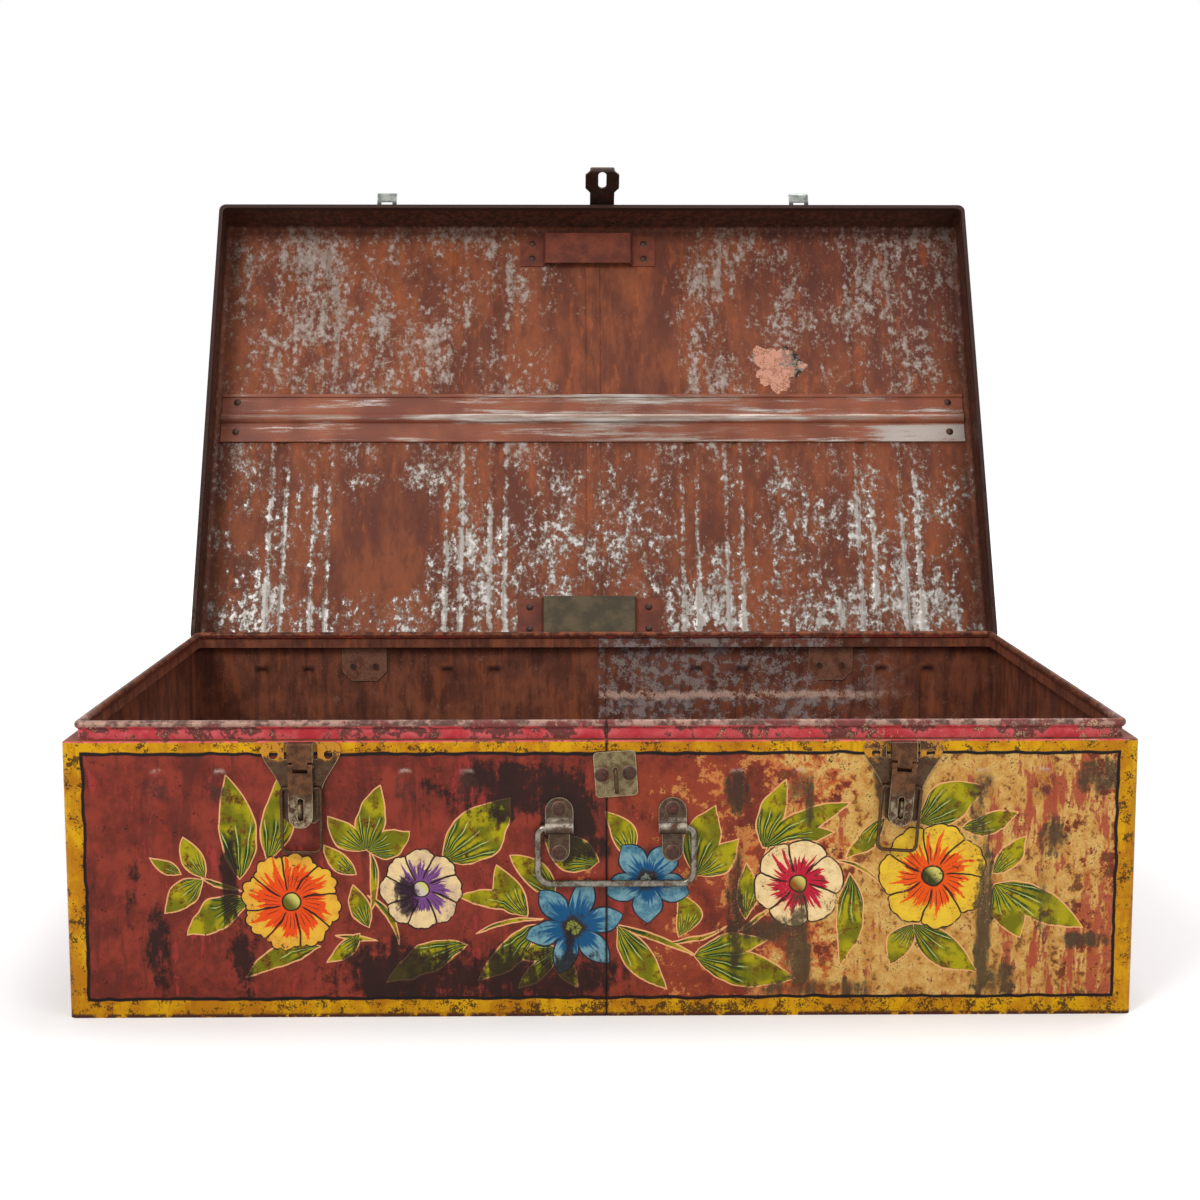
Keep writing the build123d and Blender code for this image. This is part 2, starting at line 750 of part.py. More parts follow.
def clear_box(view, spans, half_height, depth):
    """Cut a square-cornered notch round a pin, over spans along the pin."""
    for start, end in spans:
        with BuildSketch(view.offset(start)) as room:
            Rectangle(2 * depth, 2 * half_height)
        extrude(room.sketch, amount=end - start, mode=Mode.SUBTRACT)


ear_start = (wing_x - latch_ear_radius, latch_top)
ear_end = (wing_x, latch_top - latch_ear_radius)

for hand, latch_x, pin_plane in zip(("left", "right"), latch_centres, latch_planes):
    wall = front_face(latch_x)
    upright_view = front_side(latch_x, front_y - latch_stand, latch_pin_height)
    pin_view = side_of(pin_plane, latch_stand)
    pivot_plane = Plane(pin_plane.location * Location((0, -loop_pivot_drop, 0)))
    pivot_view = side_of(pivot_plane, loop_stand)
    outer_spans = [
        (-latch_strap_width, -knuckle_half - knuckle_side_gap),
        (knuckle_half + knuckle_side_gap, latch_strap_width),
    ]

    with BuildPart() as latch_base:
        with BuildSketch(wall):
            with BuildLine():
                Line((0, latch_top), ear_start)
                RadiusArc(ear_start, ear_end, latch_ear_radius)
                Spline(
                    ear_end,
                    (wing_x - latch_ear_radius, ear_foot),
                    (latch_waist / 2, waist_height),
                    (latch_foot_width / 2, latch_foot + latch_foot_corner),
                    tangents=((-0.1, -1), (-0.05, -1)),
                )
                Polyline(
                    (latch_foot_width / 2, latch_foot + latch_foot_corner),
                    (latch_foot_width / 2 - latch_foot_corner, latch_foot),
                    (0, latch_foot),
                )
                mirror(about=Plane.YZ)
            make_face()
            with Locations((-ear_hole_x, ear_hole_height), (ear_hole_x, ear_hole_height)):
                Circle(ear_hole_diameter / 2, mode=Mode.SUBTRACT)
            for side in (-1, 1):
                window_x = side * (latch_strap_width + window_width) / 2
                with Locations((window_x, window_middle)):
                    Rectangle(window_width, window_height, mode=Mode.SUBTRACT)
        extrude(amount=plate)
        with BuildSketch(upright_view):
            with BuildLine():
                FilletPolyline(
                    (plate / 2 - latch_stand, strap_fold_y - latch_strap_fold),
                    (plate / 2 - latch_stand, strap_fold_y),
                    (lever_face, strap_fold_y),
                    (lever_face, latch_ring / 4),
                    radius=latch_strap_fold / 2,
                )
            trace(line_width=plate)
        extrude(amount=latch_strap_width / 2, both=True)
        clear_box(pin_view, outer_spans, latch_notch, latch_stand - plate - running_clearance)
        with BuildSketch(pin_view):
            Circle(latch_ring)
        extrude(amount=knuckle_half, both=True)
        with BuildSketch(pin_view):
            Circle(latch_bore)
        extrude(amount=latch_strap_width, both=True, mode=Mode.SUBTRACT)
        drill([site.offset(plate) for site in latch_rivet_sites], rivet_hole, 0, plate)
        drill([leg.offset(plate) for leg in eye_legs], eye_wire / 2 + rivet_fit, 0, plate)
    save(latch_base, "latch_" + hand + "_base")

    with BuildPart() as latch_pin:
        with BuildSketch(pin_view):
            Circle(latch_pin_diameter / 2)
        extrude(amount=lever_width / 2 + latch_pin_overhang, both=True)
    save(latch_pin, "latch_" + hand + "_pin")

    eye_view = side_of(Plane(pin_plane.location * Location((0, -lever_slot_centre, 0))), 0)
    eye_tail = sheet + plate
    eye_end = padlock_eye_reach - eye_wire / 2
    padlock_eye = bent_wire(
        eye_view,
        (
            (-eye_tail, padlock_eye_span / 2),
            (eye_end, padlock_eye_span / 2),
            (eye_end, -padlock_eye_span / 2),
            (-eye_tail, -padlock_eye_span / 2),
        ),
        padlock_eye_span / 2 - running_clearance,
        eye_wire,
    )
    with BuildPart() as latch_eye:
        add(padlock_eye)
    save(latch_eye, "latch_" + hand + "_padlock_eye")

    with BuildPart() as lever:
        with BuildSketch(pin_view):
            with BuildLine():
                Polyline(
                    (lever_face, 0),
                    (lever_face, -lever_length + lever_tip),
                    (lever_face + lever_lip, -lever_length),
                )
            trace(line_width=plate)
            Circle(latch_ring)
            Circle(latch_bore, mode=Mode.SUBTRACT)
        extrude(amount=lever_width / 2, both=True)
        clear_box(
            pin_view,
            [(-knuckle_half - knuckle_side_gap, knuckle_half + knuckle_side_gap)],
            lever_notch,
            2 * latch_ring,
        )
        with BuildSketch(pin_plane):
            with Locations((0, (latch_ring - lever_length + lever_width / 2) / 2)):
                Rectangle(lever_width, lever_length + latch_ring - lever_width / 2)
            with Locations((0, -lever_length + lever_width / 2)):
                Circle(lever_width / 2)
            with Locations((0, -lever_slot_centre)):
                SlotOverall(lever_slot_length, lever_slot_width, rotation=90, mode=Mode.SUBTRACT)
        extrude(amount=latch_stand + lever_face + 2 * lever_lip + plate, mode=Mode.INTERSECT)
        for side in (-1, 1):
            cheek_view = side_of(pin_plane, latch_stand).offset(side * (lever_width - plate) / 2)
            cheek_back = plate + cheek_stand_off - latch_stand
            with BuildSketch(cheek_view):
                with Locations(((cheek_back + lever_face) / 2, -loop_pivot_drop)):
                    Rectangle(lever_face - cheek_back, cheek_height)
                with Locations((-loop_setback, -loop_pivot_drop)):
                    Circle(loop_wire / 2 + running_clearance, mode=Mode.SUBTRACT)
            extrude(amount=plate / 2, both=True)
    save(lever, "latch_" + hand + "_lever")

    loop_leg = (loop_width - loop_wire) / 2
    with BuildPart() as loop:
        add(
            bent_wire(
                pivot_plane.offset(loop_stand),
                (
                    (-loop_end_inside, 0),
                    (-loop_leg, 0),
                    (-loop_leg, -loop_length),
                    (loop_leg, -loop_length),
                    (loop_leg, 0),
                    (loop_end_inside, 0),
                ),
                (loop_shoulder, loop_corner, loop_corner, loop_shoulder),
                loop_wire,
            )
        )
    save(loop, "latch_" + hand + "_loop")

# ---------------------------------------------------------------- keepers on the lid's skirt
bar_height = loop_pivot_height + loop_length - lid_edge_z
hook_y = bar_height - loop_wire / 2 - keeper_play - plate / 2
hook_x = keeper_reach - plate / 2
flare = radians(keeper_lip_flare)
window_foot = plate + keeper_bend / 2

for hand, keeper_x in zip(("left", "right"), latch_centres):
    skirt = opened(front_face(keeper_x, lid_front_y, lid_edge_z))
    skirt_view = opened(front_side(keeper_x, lid_front_y, lid_edge_z))
    with BuildPart() as keeper:
        with BuildSketch(skirt_view):
            with BuildLine():
                FilletPolyline(
                    (plate / 2, keeper_top),
                    (plate / 2, hook_y),
                    (hook_x, hook_y),
                    (hook_x + keeper_lip * sin(flare), hook_y + keeper_lip * cos(flare)),
                    radius=keeper_bend,
                )
            trace(line_width=plate)
        extrude(amount=keeper_width / 2, both=True)
        with BuildSketch(skirt):
            with Locations((0, keeper_top / 2)):
                RectangleRounded(keeper_width, keeper_top, keeper_width / 5)
        extrude(amount=keeper_reach + keeper_lip, mode=Mode.INTERSECT)
        with BuildSketch(skirt.offset(window_foot)):
            with Locations((0, hook_y)):
                Rectangle(keeper_window[0], 2 * plate)
        extrude(amount=keeper_window[1], mode=Mode.SUBTRACT)
        drill([site.offset(plate) for site in keeper_sites], rivet_hole, 0, plate)
    save(keeper, "keeper_" + hand)

# ---------------------------------------------------------------- staple on the front
with BuildPart() as staple_plate:
    with BuildSketch(staple_turned):
        RectangleRounded(staple_plate_width, staple_plate_height, staple_corner)
    extrude(amount=plate)
    drill([site.offset(plate) for site in staple_rivet_sites], rivet_hole, 0, plate)
    drill([leg.offset(plate) for leg in staple_legs], staple_wire / 2 + rivet_fit, 0, plate)
save(staple_plate, "staple_plate")

staple_middle = Plane(staple_turned.location * Location((0, -staple_drop, 0)))
staple_tail = 2 * sheet + plate
staple_end = staple_reach - staple_wire / 2
with BuildPart() as staple_eye:
    add(
        bent_wire(
            side_of(staple_middle, 0),
            (
                (-staple_tail, staple_span / 2),
                (staple_end, staple_span / 2),
                (staple_end, -staple_span / 2),
                (-staple_tail, -staple_span / 2),
            ),
            staple_wire,
            staple_wire,
        )
    )
save(staple_eye, "staple_eye")

# ---------------------------------------------------------------- hasp on the lid
hasp_seat = hinge_seat_gap + hasp_ring
hasp_view = opened(front_side(staple_centre_x, hasp_pin_y, hasp_pin_z))
hasp_knuckle_half = hasp_knuckle / 2
hasp_room = hasp_ring + knuckle_gap

with BuildPart() as hasp_plate:
    extrude(
        curled_sheet(hasp_view, hasp_seat, hasp_plate_height, hasp_bore),
        amount=hasp_plate_width / 2,
        both=True,
    )
    clear_knuckles(
        hasp_view,
        [(-hasp_knuckle_half - knuckle_side_gap, hasp_knuckle_half + knuckle_side_gap)],
        hasp_room,
    )
    with BuildSketch(opened(front_face(staple_centre_x, lid_front_y, hasp_pin_z))):
        with Locations((0, hasp_plate_height / 2)):
            Rectangle(hasp_plate_width, hasp_plate_height)
        chamfer(vertices().group_by(Axis.Y)[-1], hasp_corner)
        Rectangle(hasp_neck, 3 * hasp_ring)
    extrude(amount=4 * hasp_ring, mode=Mode.INTERSECT)
    drill([site.offset(plate) for site in hasp_sites], rivet_hole, 0, plate)
save(hasp_plate, "hasp_plate")

with BuildPart() as hasp_pin:
    with BuildSketch(hasp_view):
        Circle(hasp_pin_diameter / 2)
    extrude(amount=hasp_neck / 2 + hasp_pin_overhang, both=True)
save(hasp_pin, "hasp_pin")


def swung(plane):
    """Where a plane of the closed hasp lies when it stands off the open lid's skirt."""
    return Plane(lid_open * hasp_out * plane.location)


tongue_x = -hasp_bore - plate / 2
hasp_tongue_view = swung(front_side(staple_centre_x, hasp_pin_y, hasp_pin_z))
with BuildPart() as hasp_tongue:
    with BuildSketch(hasp_tongue_view):
        with BuildLine():
            FilletPolyline(
                (tongue_x, 0),
                (tongue_x, -hasp_length + plate / 2),
                (tongue_x + hasp_lip_radius + hasp_lip, -hasp_length + plate / 2),
                radius=hasp_lip_radius,
            )
        trace(line_width=plate)
        Circle(hasp_ring)
        Circle(hasp_bore, mode=Mode.SUBTRACT)
    extrude(amount=hasp_head / 2, both=True)
    clear_knuckles(
        hasp_tongue_view,
        [
            (-hasp_head, -hasp_knuckle_half + knuckle_side_gap),
            (hasp_knuckle_half - knuckle_side_gap, hasp_head),
        ],
        hasp_room,
    )
    with BuildSketch(swung(front_face(staple_centre_x, hasp_pin_y + 2 * hasp_ring, hasp_pin_z))):
        with BuildLine():
            Polyline(
                (0, hasp_ring),
                (hasp_neck / 2, hasp_ring),
                (hasp_neck / 2, -hasp_shoulder),
                (hasp_head / 2, -hasp_shoulder - hasp_corner),
                (hasp_head / 2, -hasp_length + hasp_corner),
                (hasp_head / 2 - hasp_corner, -hasp_length),
                (0, -hasp_length),
            )
            mirror(about=Plane.YZ)
        make_face()
        with Locations((0, -hasp_slot_centre)):
            SlotOverall(hasp_slot_length, hasp_slot_width, rotation=90, mode=Mode.SUBTRACT)
    extrude(amount=6 * hasp_ring, mode=Mode.INTERSECT)
save(hasp_tongue, "hasp_tongue")

# ---------------------------------------------------------------- carrying handle
tunnel_bore = handle_radius + tunnel_clearance
tunnel_ring = tunnel_bore + plate
bracket_width = bracket_outer - bracket_inner

for hand, bracket_x in zip(("left", "right"), bracket_xs):
    with BuildPart() as bracket:
        with BuildSketch(front_side(bracket_x, front_y, handle_height)):
            with Locations((plate / 2, (bracket_low + bracket_high) / 2)):
                Rectangle(plate, bracket_high - bracket_low)
            with Locations((handle_stand, 0)):
                Circle(tunnel_ring)
                Circle(tunnel_bore, mode=Mode.SUBTRACT)
            with Locations((handle_stand / 2, 0)):
                Rectangle(handle_stand, 2 * tunnel_bore, mode=Mode.SUBTRACT)
            with Locations((-tunnel_ring, 0)):
                Rectangle(2 * tunnel_ring, 2 * bracket_high - 2 * bracket_low, mode=Mode.SUBTRACT)
        extrude(amount=bracket_width / 2, both=True)
        with BuildSketch(front_face(bracket_x, height=handle_height)):
            with Locations((0, bracket_high - bracket_width / 2)):
                Circle(bracket_width / 2)
            with Locations((0, (bracket_high - bracket_width / 2 - tunnel_ring) / 2)):
                Rectangle(bracket_width, bracket_high - bracket_width / 2 + tunnel_ring)
            with Locations((0, bracket_low + bracket_foot_width / 2)):
                Circle(bracket_foot_width / 2)
            with Locations((0, (bracket_low + bracket_foot_width / 2) / 2)):
                Rectangle(bracket_foot_width, -bracket_low - bracket_foot_width / 2)
        extrude(amount=handle_stand + 2 * tunnel_ring, mode=Mode.INTERSECT)
        drill([site.offset(plate) for site in bracket_sites], rivet_hole, 0, plate)
    save(bracket, "handle_bracket_" + hand)

leg_x = handle_span / 2
with BuildPart() as handle:
    add(
        bent_wire(
            front_face(handle_centre_x, front_y - handle_stand, handle_height),
            (
                (-handle_end_inside, 0),
                (-leg_x, 0),
                (-leg_x, -handle_drop),
                (leg_x, -handle_drop),
                (leg_x, 0),
                (handle_end_inside, 0),
            ),
            (handle_top_corner, handle_corner, handle_corner, handle_top_corner),
            handle_wire,
        )
    )
save(handle, "carrying_handle")

# ---------------------------------------------------------------- rivets
rivet_groups = {
    "latch_rivets": (latch_rivet_sites, plate, small_rivet_head, plate + sheet),
    "handle_rivets": (bracket_sites, plate, large_rivet_head, plate + sheet),
    "hinge_body_rivets": (hinge_sites, plate, small_rivet_head, 2 * plate + sheet),
    "hinge_lid_rivets": (lid_hinge_sites, plate, small_rivet_head, plate + sheet),
    "keeper_rivets": (keeper_sites, plate, small_rivet_head, plate + sheet),
    "hasp_rivets": (hasp_sites, plate, small_rivet_head, plate + sheet),
    "lid_bridge_rivets": (bridge_sites, sheet, small_rivet_head, 2 * sheet),
    "lid_strap_rivets": (strap_sites, sheet, small_rivet_head, 2 * sheet),
}
for name, (sites, seat_height, head_diameter, grip) in rivet_groups.items():
    with BuildPart() as rivets:
        with Locations([site.offset(seat_height) for site in sites]):
            add(rivet(head_diameter, grip))
    save(rivets, name)

with BuildPart() as staple_rivets:
    for site, sheets in zip(staple_rivet_sites, (2, 1)):
        with Locations(site.offset(plate)):
            add(rivet(large_rivet_head, plate + sheets * sheet))
save(staple_rivets, "staple_rivets")
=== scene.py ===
import json
from math import cos, hypot, pi, radians, sin
from types import SimpleNamespace

import bpy
from mathutils import Matrix, Vector


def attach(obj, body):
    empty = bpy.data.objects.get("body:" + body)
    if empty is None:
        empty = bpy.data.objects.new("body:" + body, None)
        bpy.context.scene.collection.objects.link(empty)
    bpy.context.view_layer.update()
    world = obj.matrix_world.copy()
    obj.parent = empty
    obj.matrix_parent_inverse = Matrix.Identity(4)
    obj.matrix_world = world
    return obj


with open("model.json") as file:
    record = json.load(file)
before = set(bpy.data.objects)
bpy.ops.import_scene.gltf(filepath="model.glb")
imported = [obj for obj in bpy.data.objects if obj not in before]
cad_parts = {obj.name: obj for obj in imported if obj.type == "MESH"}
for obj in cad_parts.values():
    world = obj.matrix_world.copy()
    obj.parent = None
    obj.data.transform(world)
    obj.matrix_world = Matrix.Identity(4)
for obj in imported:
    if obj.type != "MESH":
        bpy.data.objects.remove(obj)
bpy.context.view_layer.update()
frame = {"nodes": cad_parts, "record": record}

# The looks of a small painted tin trunk that stands open.  Lengths in materials are millimetres in
# the frame of the model; colours are given as they look on a screen, from 0 to 255.

# ---------------------------------------------------------------- sizes taken from the model
MM = 0.001
SHOULDER = 161.0                      # ledge that the closed lid rests on
PIN = (0.0, 191.55, SHOULDER)         # axis of the lid's hinges
OPEN_ANGLE = 116.5
HALF_WIDTH = 305.0
HALF_DEPTH = 187.0
BEAD_FOOT = 168.4                     # lower edge of the bead along the rim
CURL_END = 167.5                      # where the rim's curl meets the inside
RIB_PLACES = (76.5, 111.5, 216.5, 251.5)
RIB_HALF_WIDTH = 6.0
RIB_HEAD = 144.0                      # top of the walls' ribs
SEAM_X = 2.5
PANEL_TOP = 198.3                     # inside of the lid's panel, lid closed
LID_FRONT = -188.5
LID_HEM = 166.5                       # top of the hem along the lid's edge, lid closed
STRAP_REACH = 204.0                   # from the hinges to the middle of the strap
BRIDGE_FACE = 194.0                   # raised face of the lid's bridges, lid closed
LATCH_X = 170.3
LEVER_HALF_WIDTH = 7.2
LEVER_BACK = -189.5                   # the levers lie in front of it
EAR_INSIDE = 9.0                      # from a latch's middle to the inside of its ears

# ---------------------------------------------------------------- camera
CAMERA_PLACE = (-15.3, -1269.0, 374.9)
CAMERA_PITCH = 7.054
CAMERA_YAW = 0.745
FOCAL_PIXELS = 1947.3
IMAGE_PIXELS = 1200
SENSOR = 36.0


def paint(red, green, blue):
    """A colour as it looks on a screen, in the linear values that shaders use."""
    shares = [value / 255 for value in (red, green, blue)]
    linear = [s / 12.92 if s <= 0.04045 else ((s + 0.055) / 1.055) ** 2.4 for s in shares]
    return (*linear, 1.0)


# ---------------------------------------------------------------- formulas as shader nodes
AXES = ((1, 0, 0), (0, 1, 0), (0, 0, 1))


class Value:
    """A socket that can stand in a formula.  Each operation adds a node."""

    def __init__(self, graph, socket):
        self.graph = graph
        self.socket = socket

    def __add__(self, other):
        return self.graph.math("ADD", self, other)

    __radd__ = __add__

    def __sub__(self, other):
        return self.graph.math("SUBTRACT", self, other)

    def __rsub__(self, other):
        return self.graph.math("SUBTRACT", other, self)

    def __mul__(self, other):
        return self.graph.math("MULTIPLY", self, other)

    __rmul__ = __mul__

    def __truediv__(self, other):
        return self.graph.math("DIVIDE", self, other)

    def __pow__(self, other):
        return self.graph.math("POWER", self, other)

    def __abs__(self):
        return self.graph.math("ABSOLUTE", self)

    def least(self, other):
        return self.graph.math("MINIMUM", self, other)

    def most(self, other):
        return self.graph.math("MAXIMUM", self, other)

    def rise(self, low, high):
        """A smooth step from 0 at low to 1 at high."""
        return self.graph.step(self, low, high, 0.0, 1.0)

    def fall(self, low, high):
        """A smooth step from 1 at low to 0 at high."""
        return self.graph.step(self, low, high, 1.0, 0.0)

    def between(self, low, high, soft):
        """1 between two values, 0 outside, with soft edges."""
        return self.rise(low - soft, low + soft) * self.fall(high - soft, high + soft)

    def wave(self):
        return self.graph.math("SINE", self)

    def part(self):
        return self.graph.math("FRACT", self)


class Graph:
    """Short calls for one node tree."""

    def __init__(self, tree):
        self.tree = tree

    def put(self, slot, value):
        if isinstance(value, Value):
            self.tree.links.new(value.socket, slot)
        elif value is not None:
            slot.default_value = value

    def node(self, kind, *inputs, output=0, **settings):
        made = self.tree.nodes.new("ShaderNode" + kind)
        for name, value in settings.items():
            setattr(made, name, value)
        for slot, value in zip(made.inputs, inputs):
            self.put(slot, value)
        return Value(self, made.outputs[output])

    def math(self, operation, *values):
        return self.node("Math", *values, operation=operation)

    def step(self, value, low, high, first, last):
        return self.node(
            "MapRange", value, low, high, first, last, interpolation_type="SMOOTHSTEP", clamp=False
        )

    def vector(self, operation, *values, output=0):
        return self.node("VectorMath", *values, operation=operation, output=output)

    def dot(self, first, second):
        return self.vector("DOT_PRODUCT", first, second, output=1)

    def blend(self, kind, factor, first, second):
        """A Mix node for values of one kind."""
        made = self.tree.nodes.new("ShaderNodeMix")
        made.data_type = kind
        self.put(made.inputs["Factor"], factor)
        slots = [slot for slot in made.inputs if slot.type == kind][-2:]
        for slot, value in zip(slots, (first, second)):
            self.put(slot, value)
        return Value(self, [slot for slot in made.outputs if slot.type == kind][0])

    def choose(self, factor, first, second):
        """One vector or the other."""
        return self.blend("VECTOR", factor, first, second)

    def mix(self, factor, under, over):
        """One colour over another."""
        return self.blend("RGBA", factor, under, over)

    def scaled(self, vector, factor):
        return self.node("VectorMath", vector, None, None, factor, operation="SCALE")

    def join(self, x, y, z=0.0):
        return self.node("CombineXYZ", x, y, z)

    def split(self, vector):
        return [self.dot(vector, axis) for axis in AXES]

    def noise(self, vector, per_mm, detail=3.0, roughness=0.6, stretch=None):
        """Noise of about 0 to 1.  Stretch divides the pattern's frequency along each axis."""
        if stretch is not None:
            vector = self.vector("DIVIDE", vector, stretch)
        made = self.node("TexNoise", vector)
        for name, value in (("Scale", per_mm), ("Detail", detail), ("Roughness", roughness)):
            made.socket.node.inputs[name].default_value = value
        return made

    def line_noise(self, value, per_unit):
        """Noise along one value."""
        made = self.node("TexNoise", noise_dimensions="1D")
        self.put(made.socket.node.inputs["W"], value)
        made.socket.node.inputs["Scale"].default_value = per_unit
        return made

    def place(self):
        """The point in millimetres and the normal, both in the frame of the part."""
        made = self.tree.nodes.new("ShaderNodeTexCoord")
        point = self.scaled(Value(self, made.outputs["Object"]), 1 / MM)
        return point, Value(self, made.outputs["Normal"])


def group(name, inputs, result_kind, build):
    """A node group: build gets the graph and its inputs, and returns what comes out."""
    tree = bpy.data.node_groups.new(name, "ShaderNodeTree")
    for title, kind in inputs:
        tree.interface.new_socket(title, in_out="INPUT", socket_type="NodeSocket" + kind)
    tree.interface.new_socket("Result", in_out="OUTPUT", socket_type="NodeSocket" + result_kind)
    entry = tree.nodes.new("NodeGroupInput")
    graph = Graph(tree)
    values = {slot.name: Value(graph, slot) for slot in entry.outputs if slot.name}
    result = build(graph, SimpleNamespace(**values))
    leave = tree.nodes.new("NodeGroupOutput")
    graph.put(leave.inputs[0], result)
    return tree


def use(graph, tree, **values):
    """Put a node group into a graph."""
    made = graph.tree.nodes.new("ShaderNodeGroup")
    made.node_tree = tree
    for name, value in values.items():
        graph.put(made.inputs[name], value)
    return Value(graph, made.outputs[0])


def surface(name, build, gloss):
    """A material: build returns colour, roughness, metallic, height and the bump's size in mm."""
    material = bpy.data.materials.new(name)
    material.use_nodes = True
    graph = Graph(material.node_tree)
    shader = material.node_tree.nodes["Principled BSDF"]
    shader.inputs["Specular IOR Level"].default_value = gloss
    color, roughness, metallic, height, bump = build(graph)
    graph.put(shader.inputs["Base Color"], color)
    graph.put(shader.inputs["Roughness"], roughness)
    graph.put(shader.inputs["Metallic"], metallic)
    made = material.node_tree.nodes.new("ShaderNodeBump")
    made.inputs["Distance"].default_value = bump * MM
    graph.put(made.inputs["Height"], height)
    material.node_tree.links.new(made.outputs["Normal"], shader.inputs["Normal"])
    return material


# ---------------------------------------------------------------- strokes of the painter's brush
FAR_OUTSIDE = -50.0                   # depth of a point that no stroke has reached yet
BELLY_PEAK = 0.25                     # x * (1 - x) halfway along a stroke
FAN_ROOT = 3.0                        # keeps the fan of lines finite at a stroke's foot
CLOUDY = (0.38, 0.62)                 # soft step through the middle of a noise

OLIVE = paint(106, 104, 2), paint(158, 146, 4)
LEAF_BROWN = paint(100, 58, 8)
LEAF_GREEN = paint(4, 50, 14)
LEAF_VEIN = paint(186, 196, 110)
LEAF_OUTLINE = paint(222, 160, 108)
SPOKE = paint(44, 22, 14)
PETAL_GAP = paint(40, 26, 18)
CORE_RING = paint(34, 26, 12)
CORE_GLINT = paint(196, 188, 96)
PETAL_OUTLINE = paint(30, 20, 16)
POINTED_MIDDLE = paint(44, 36, 30)
POINTED_OUTLINE = paint(24, 28, 38)


def build_stroke(graph, at):
    """Weighs one stroke against the best so far.

    A stroke is a leaf or a stem.  The result holds how deep the point lies inside the best stroke,
    how far along it, and its place in the fan of lines that spread from its foot.
    """
    offset = graph.vector("SUBTRACT", at.Point, at.Base)
    along = graph.dot(offset, at.Along)
    across = graph.dot(offset, at.Across)
    inside = graph.node("Clamp", along, 0.0, 1.0)
    belly = inside * (1.0 - inside)
    side = across - at.Bow * belly
    width = belly * at.Width * (5.0 - inside * 1.7)
    past_end = abs(along - inside) * at.Length
    depth = width - abs(side) - past_end
    fan = side / (inside * at.Length + FAN_ROOT)
    best_depth = graph.dot(at.Best, AXES[0])
    better = graph.math("GREATER_THAN", depth, best_depth)
    return graph.choose(better, at.Best, graph.join(depth, inside, fan))


def leaf_colors(graph, under, best, wobble, grain):
    """Olive leaves with green strokes and pale veins at the foot, and a thin pale outline."""
    depth, along, fan = graph.split(best)
    depth = depth + (grain - 0.5) * 0.8
    rays = (fan * 24.0 + wobble).wave()
    fill = graph.mix(wobble.rise(0.4, 0.6), *OLIVE)
    fill = graph.mix(grain.rise(0.50, 0.62) * 0.8, fill, LEAF_BROWN)
    dark = rays.rise(-0.7, 0.1) * (along + (grain - 0.5) * 1.2).fall(0.24, 0.6)
    fill = graph.mix(dark * 0.95, fill, LEAF_GREEN)
    veins = rays.rise(0.93, 0.99) * along.between(0.06, 0.5, 0.05) * depth.rise(0.8, 1.5)
    fill = graph.mix(veins * 0.8, fill, LEAF_VEIN)
    color = graph.mix(depth.rise(-0.2, 0.3), under, fill)
    return graph.mix(depth.between(-0.35, 0.45, 0.2), color, LEAF_OUTLINE)


def petal_place(graph, at, twist):
    """Where a point lies in a flower: distance and direction from its middle, place in its petal."""
    offset = graph.vector("SUBTRACT", at.Point, at.Middle)
    right, up = graph.split(offset)[:2]
    distance = graph.vector("LENGTH", offset, output=1)
    turn = graph.math("ARCTAN2", up, right) + at.Phase + distance * twist
    sector = (turn * at.Petals / (2 * pi)).part() - 0.5
    gap = (0.5 - abs(sector)) * distance * 2.0 * pi / at.Petals
    return offset, distance, turn, sector, gap


def build_round_flower(graph, at):
    """A flower of broad petals with scalloped edges and brushed streaks from the middle."""
    offset, distance, turn, sector, gap = petal_place(graph, at, twist=0.008)
    streak = graph.line_noise(turn, 6.0)
    bulge = (1.0 - sector * sector * 3.9) ** 0.5
    ripple = abs((sector * 3.0 * pi).wave()) * at.Scallop
    edge = at.Radius * (bulge * 0.17 + ripple + 0.80) - distance + (at.Grain - 0.5) * 1.5
    share = distance / at.Radius
    ragged = at.Reach + bulge * 0.18 + (streak - 0.5) * 0.9 - share
    fill = graph.mix(at.Grain.rise(0.4, 0.6), at.Outer, at.Shade)
    fill = graph.mix((ragged + (at.Grain - 0.5) * 0.5).rise(-0.03, 0.03), fill, at.Inner)
    spokes = (turn * at.Petals * 4.0).wave().rise(0.80, 0.95) * share.between(0.28, 0.56, 0.05)
    fill = graph.mix(spokes * streak.rise(0.38, 0.48), fill, SPOKE)
    fill = graph.mix(gap.fall(0.3, 0.75) * share.rise(0.2, 0.3), fill, PETAL_GAP)
    fill = graph.mix(share.between(0.16, 0.205, 0.012), fill, CORE_RING)
    glint = graph.dot(offset, (0.3, 0.3, 0.0))
    core = graph.mix(glint.rise(-1.0, 1.6), at.Core, CORE_GLINT)
    fill = graph.mix(share.fall(0.16, 0.18), fill, core)
    color = graph.mix(edge.rise(-0.2, 0.3), at.Under, fill)
    line = edge.between(-0.7, 0.2, 0.25) * at.Grain.fall(0.54, 0.64)
    return graph.mix(line, color, PETAL_OUTLINE)


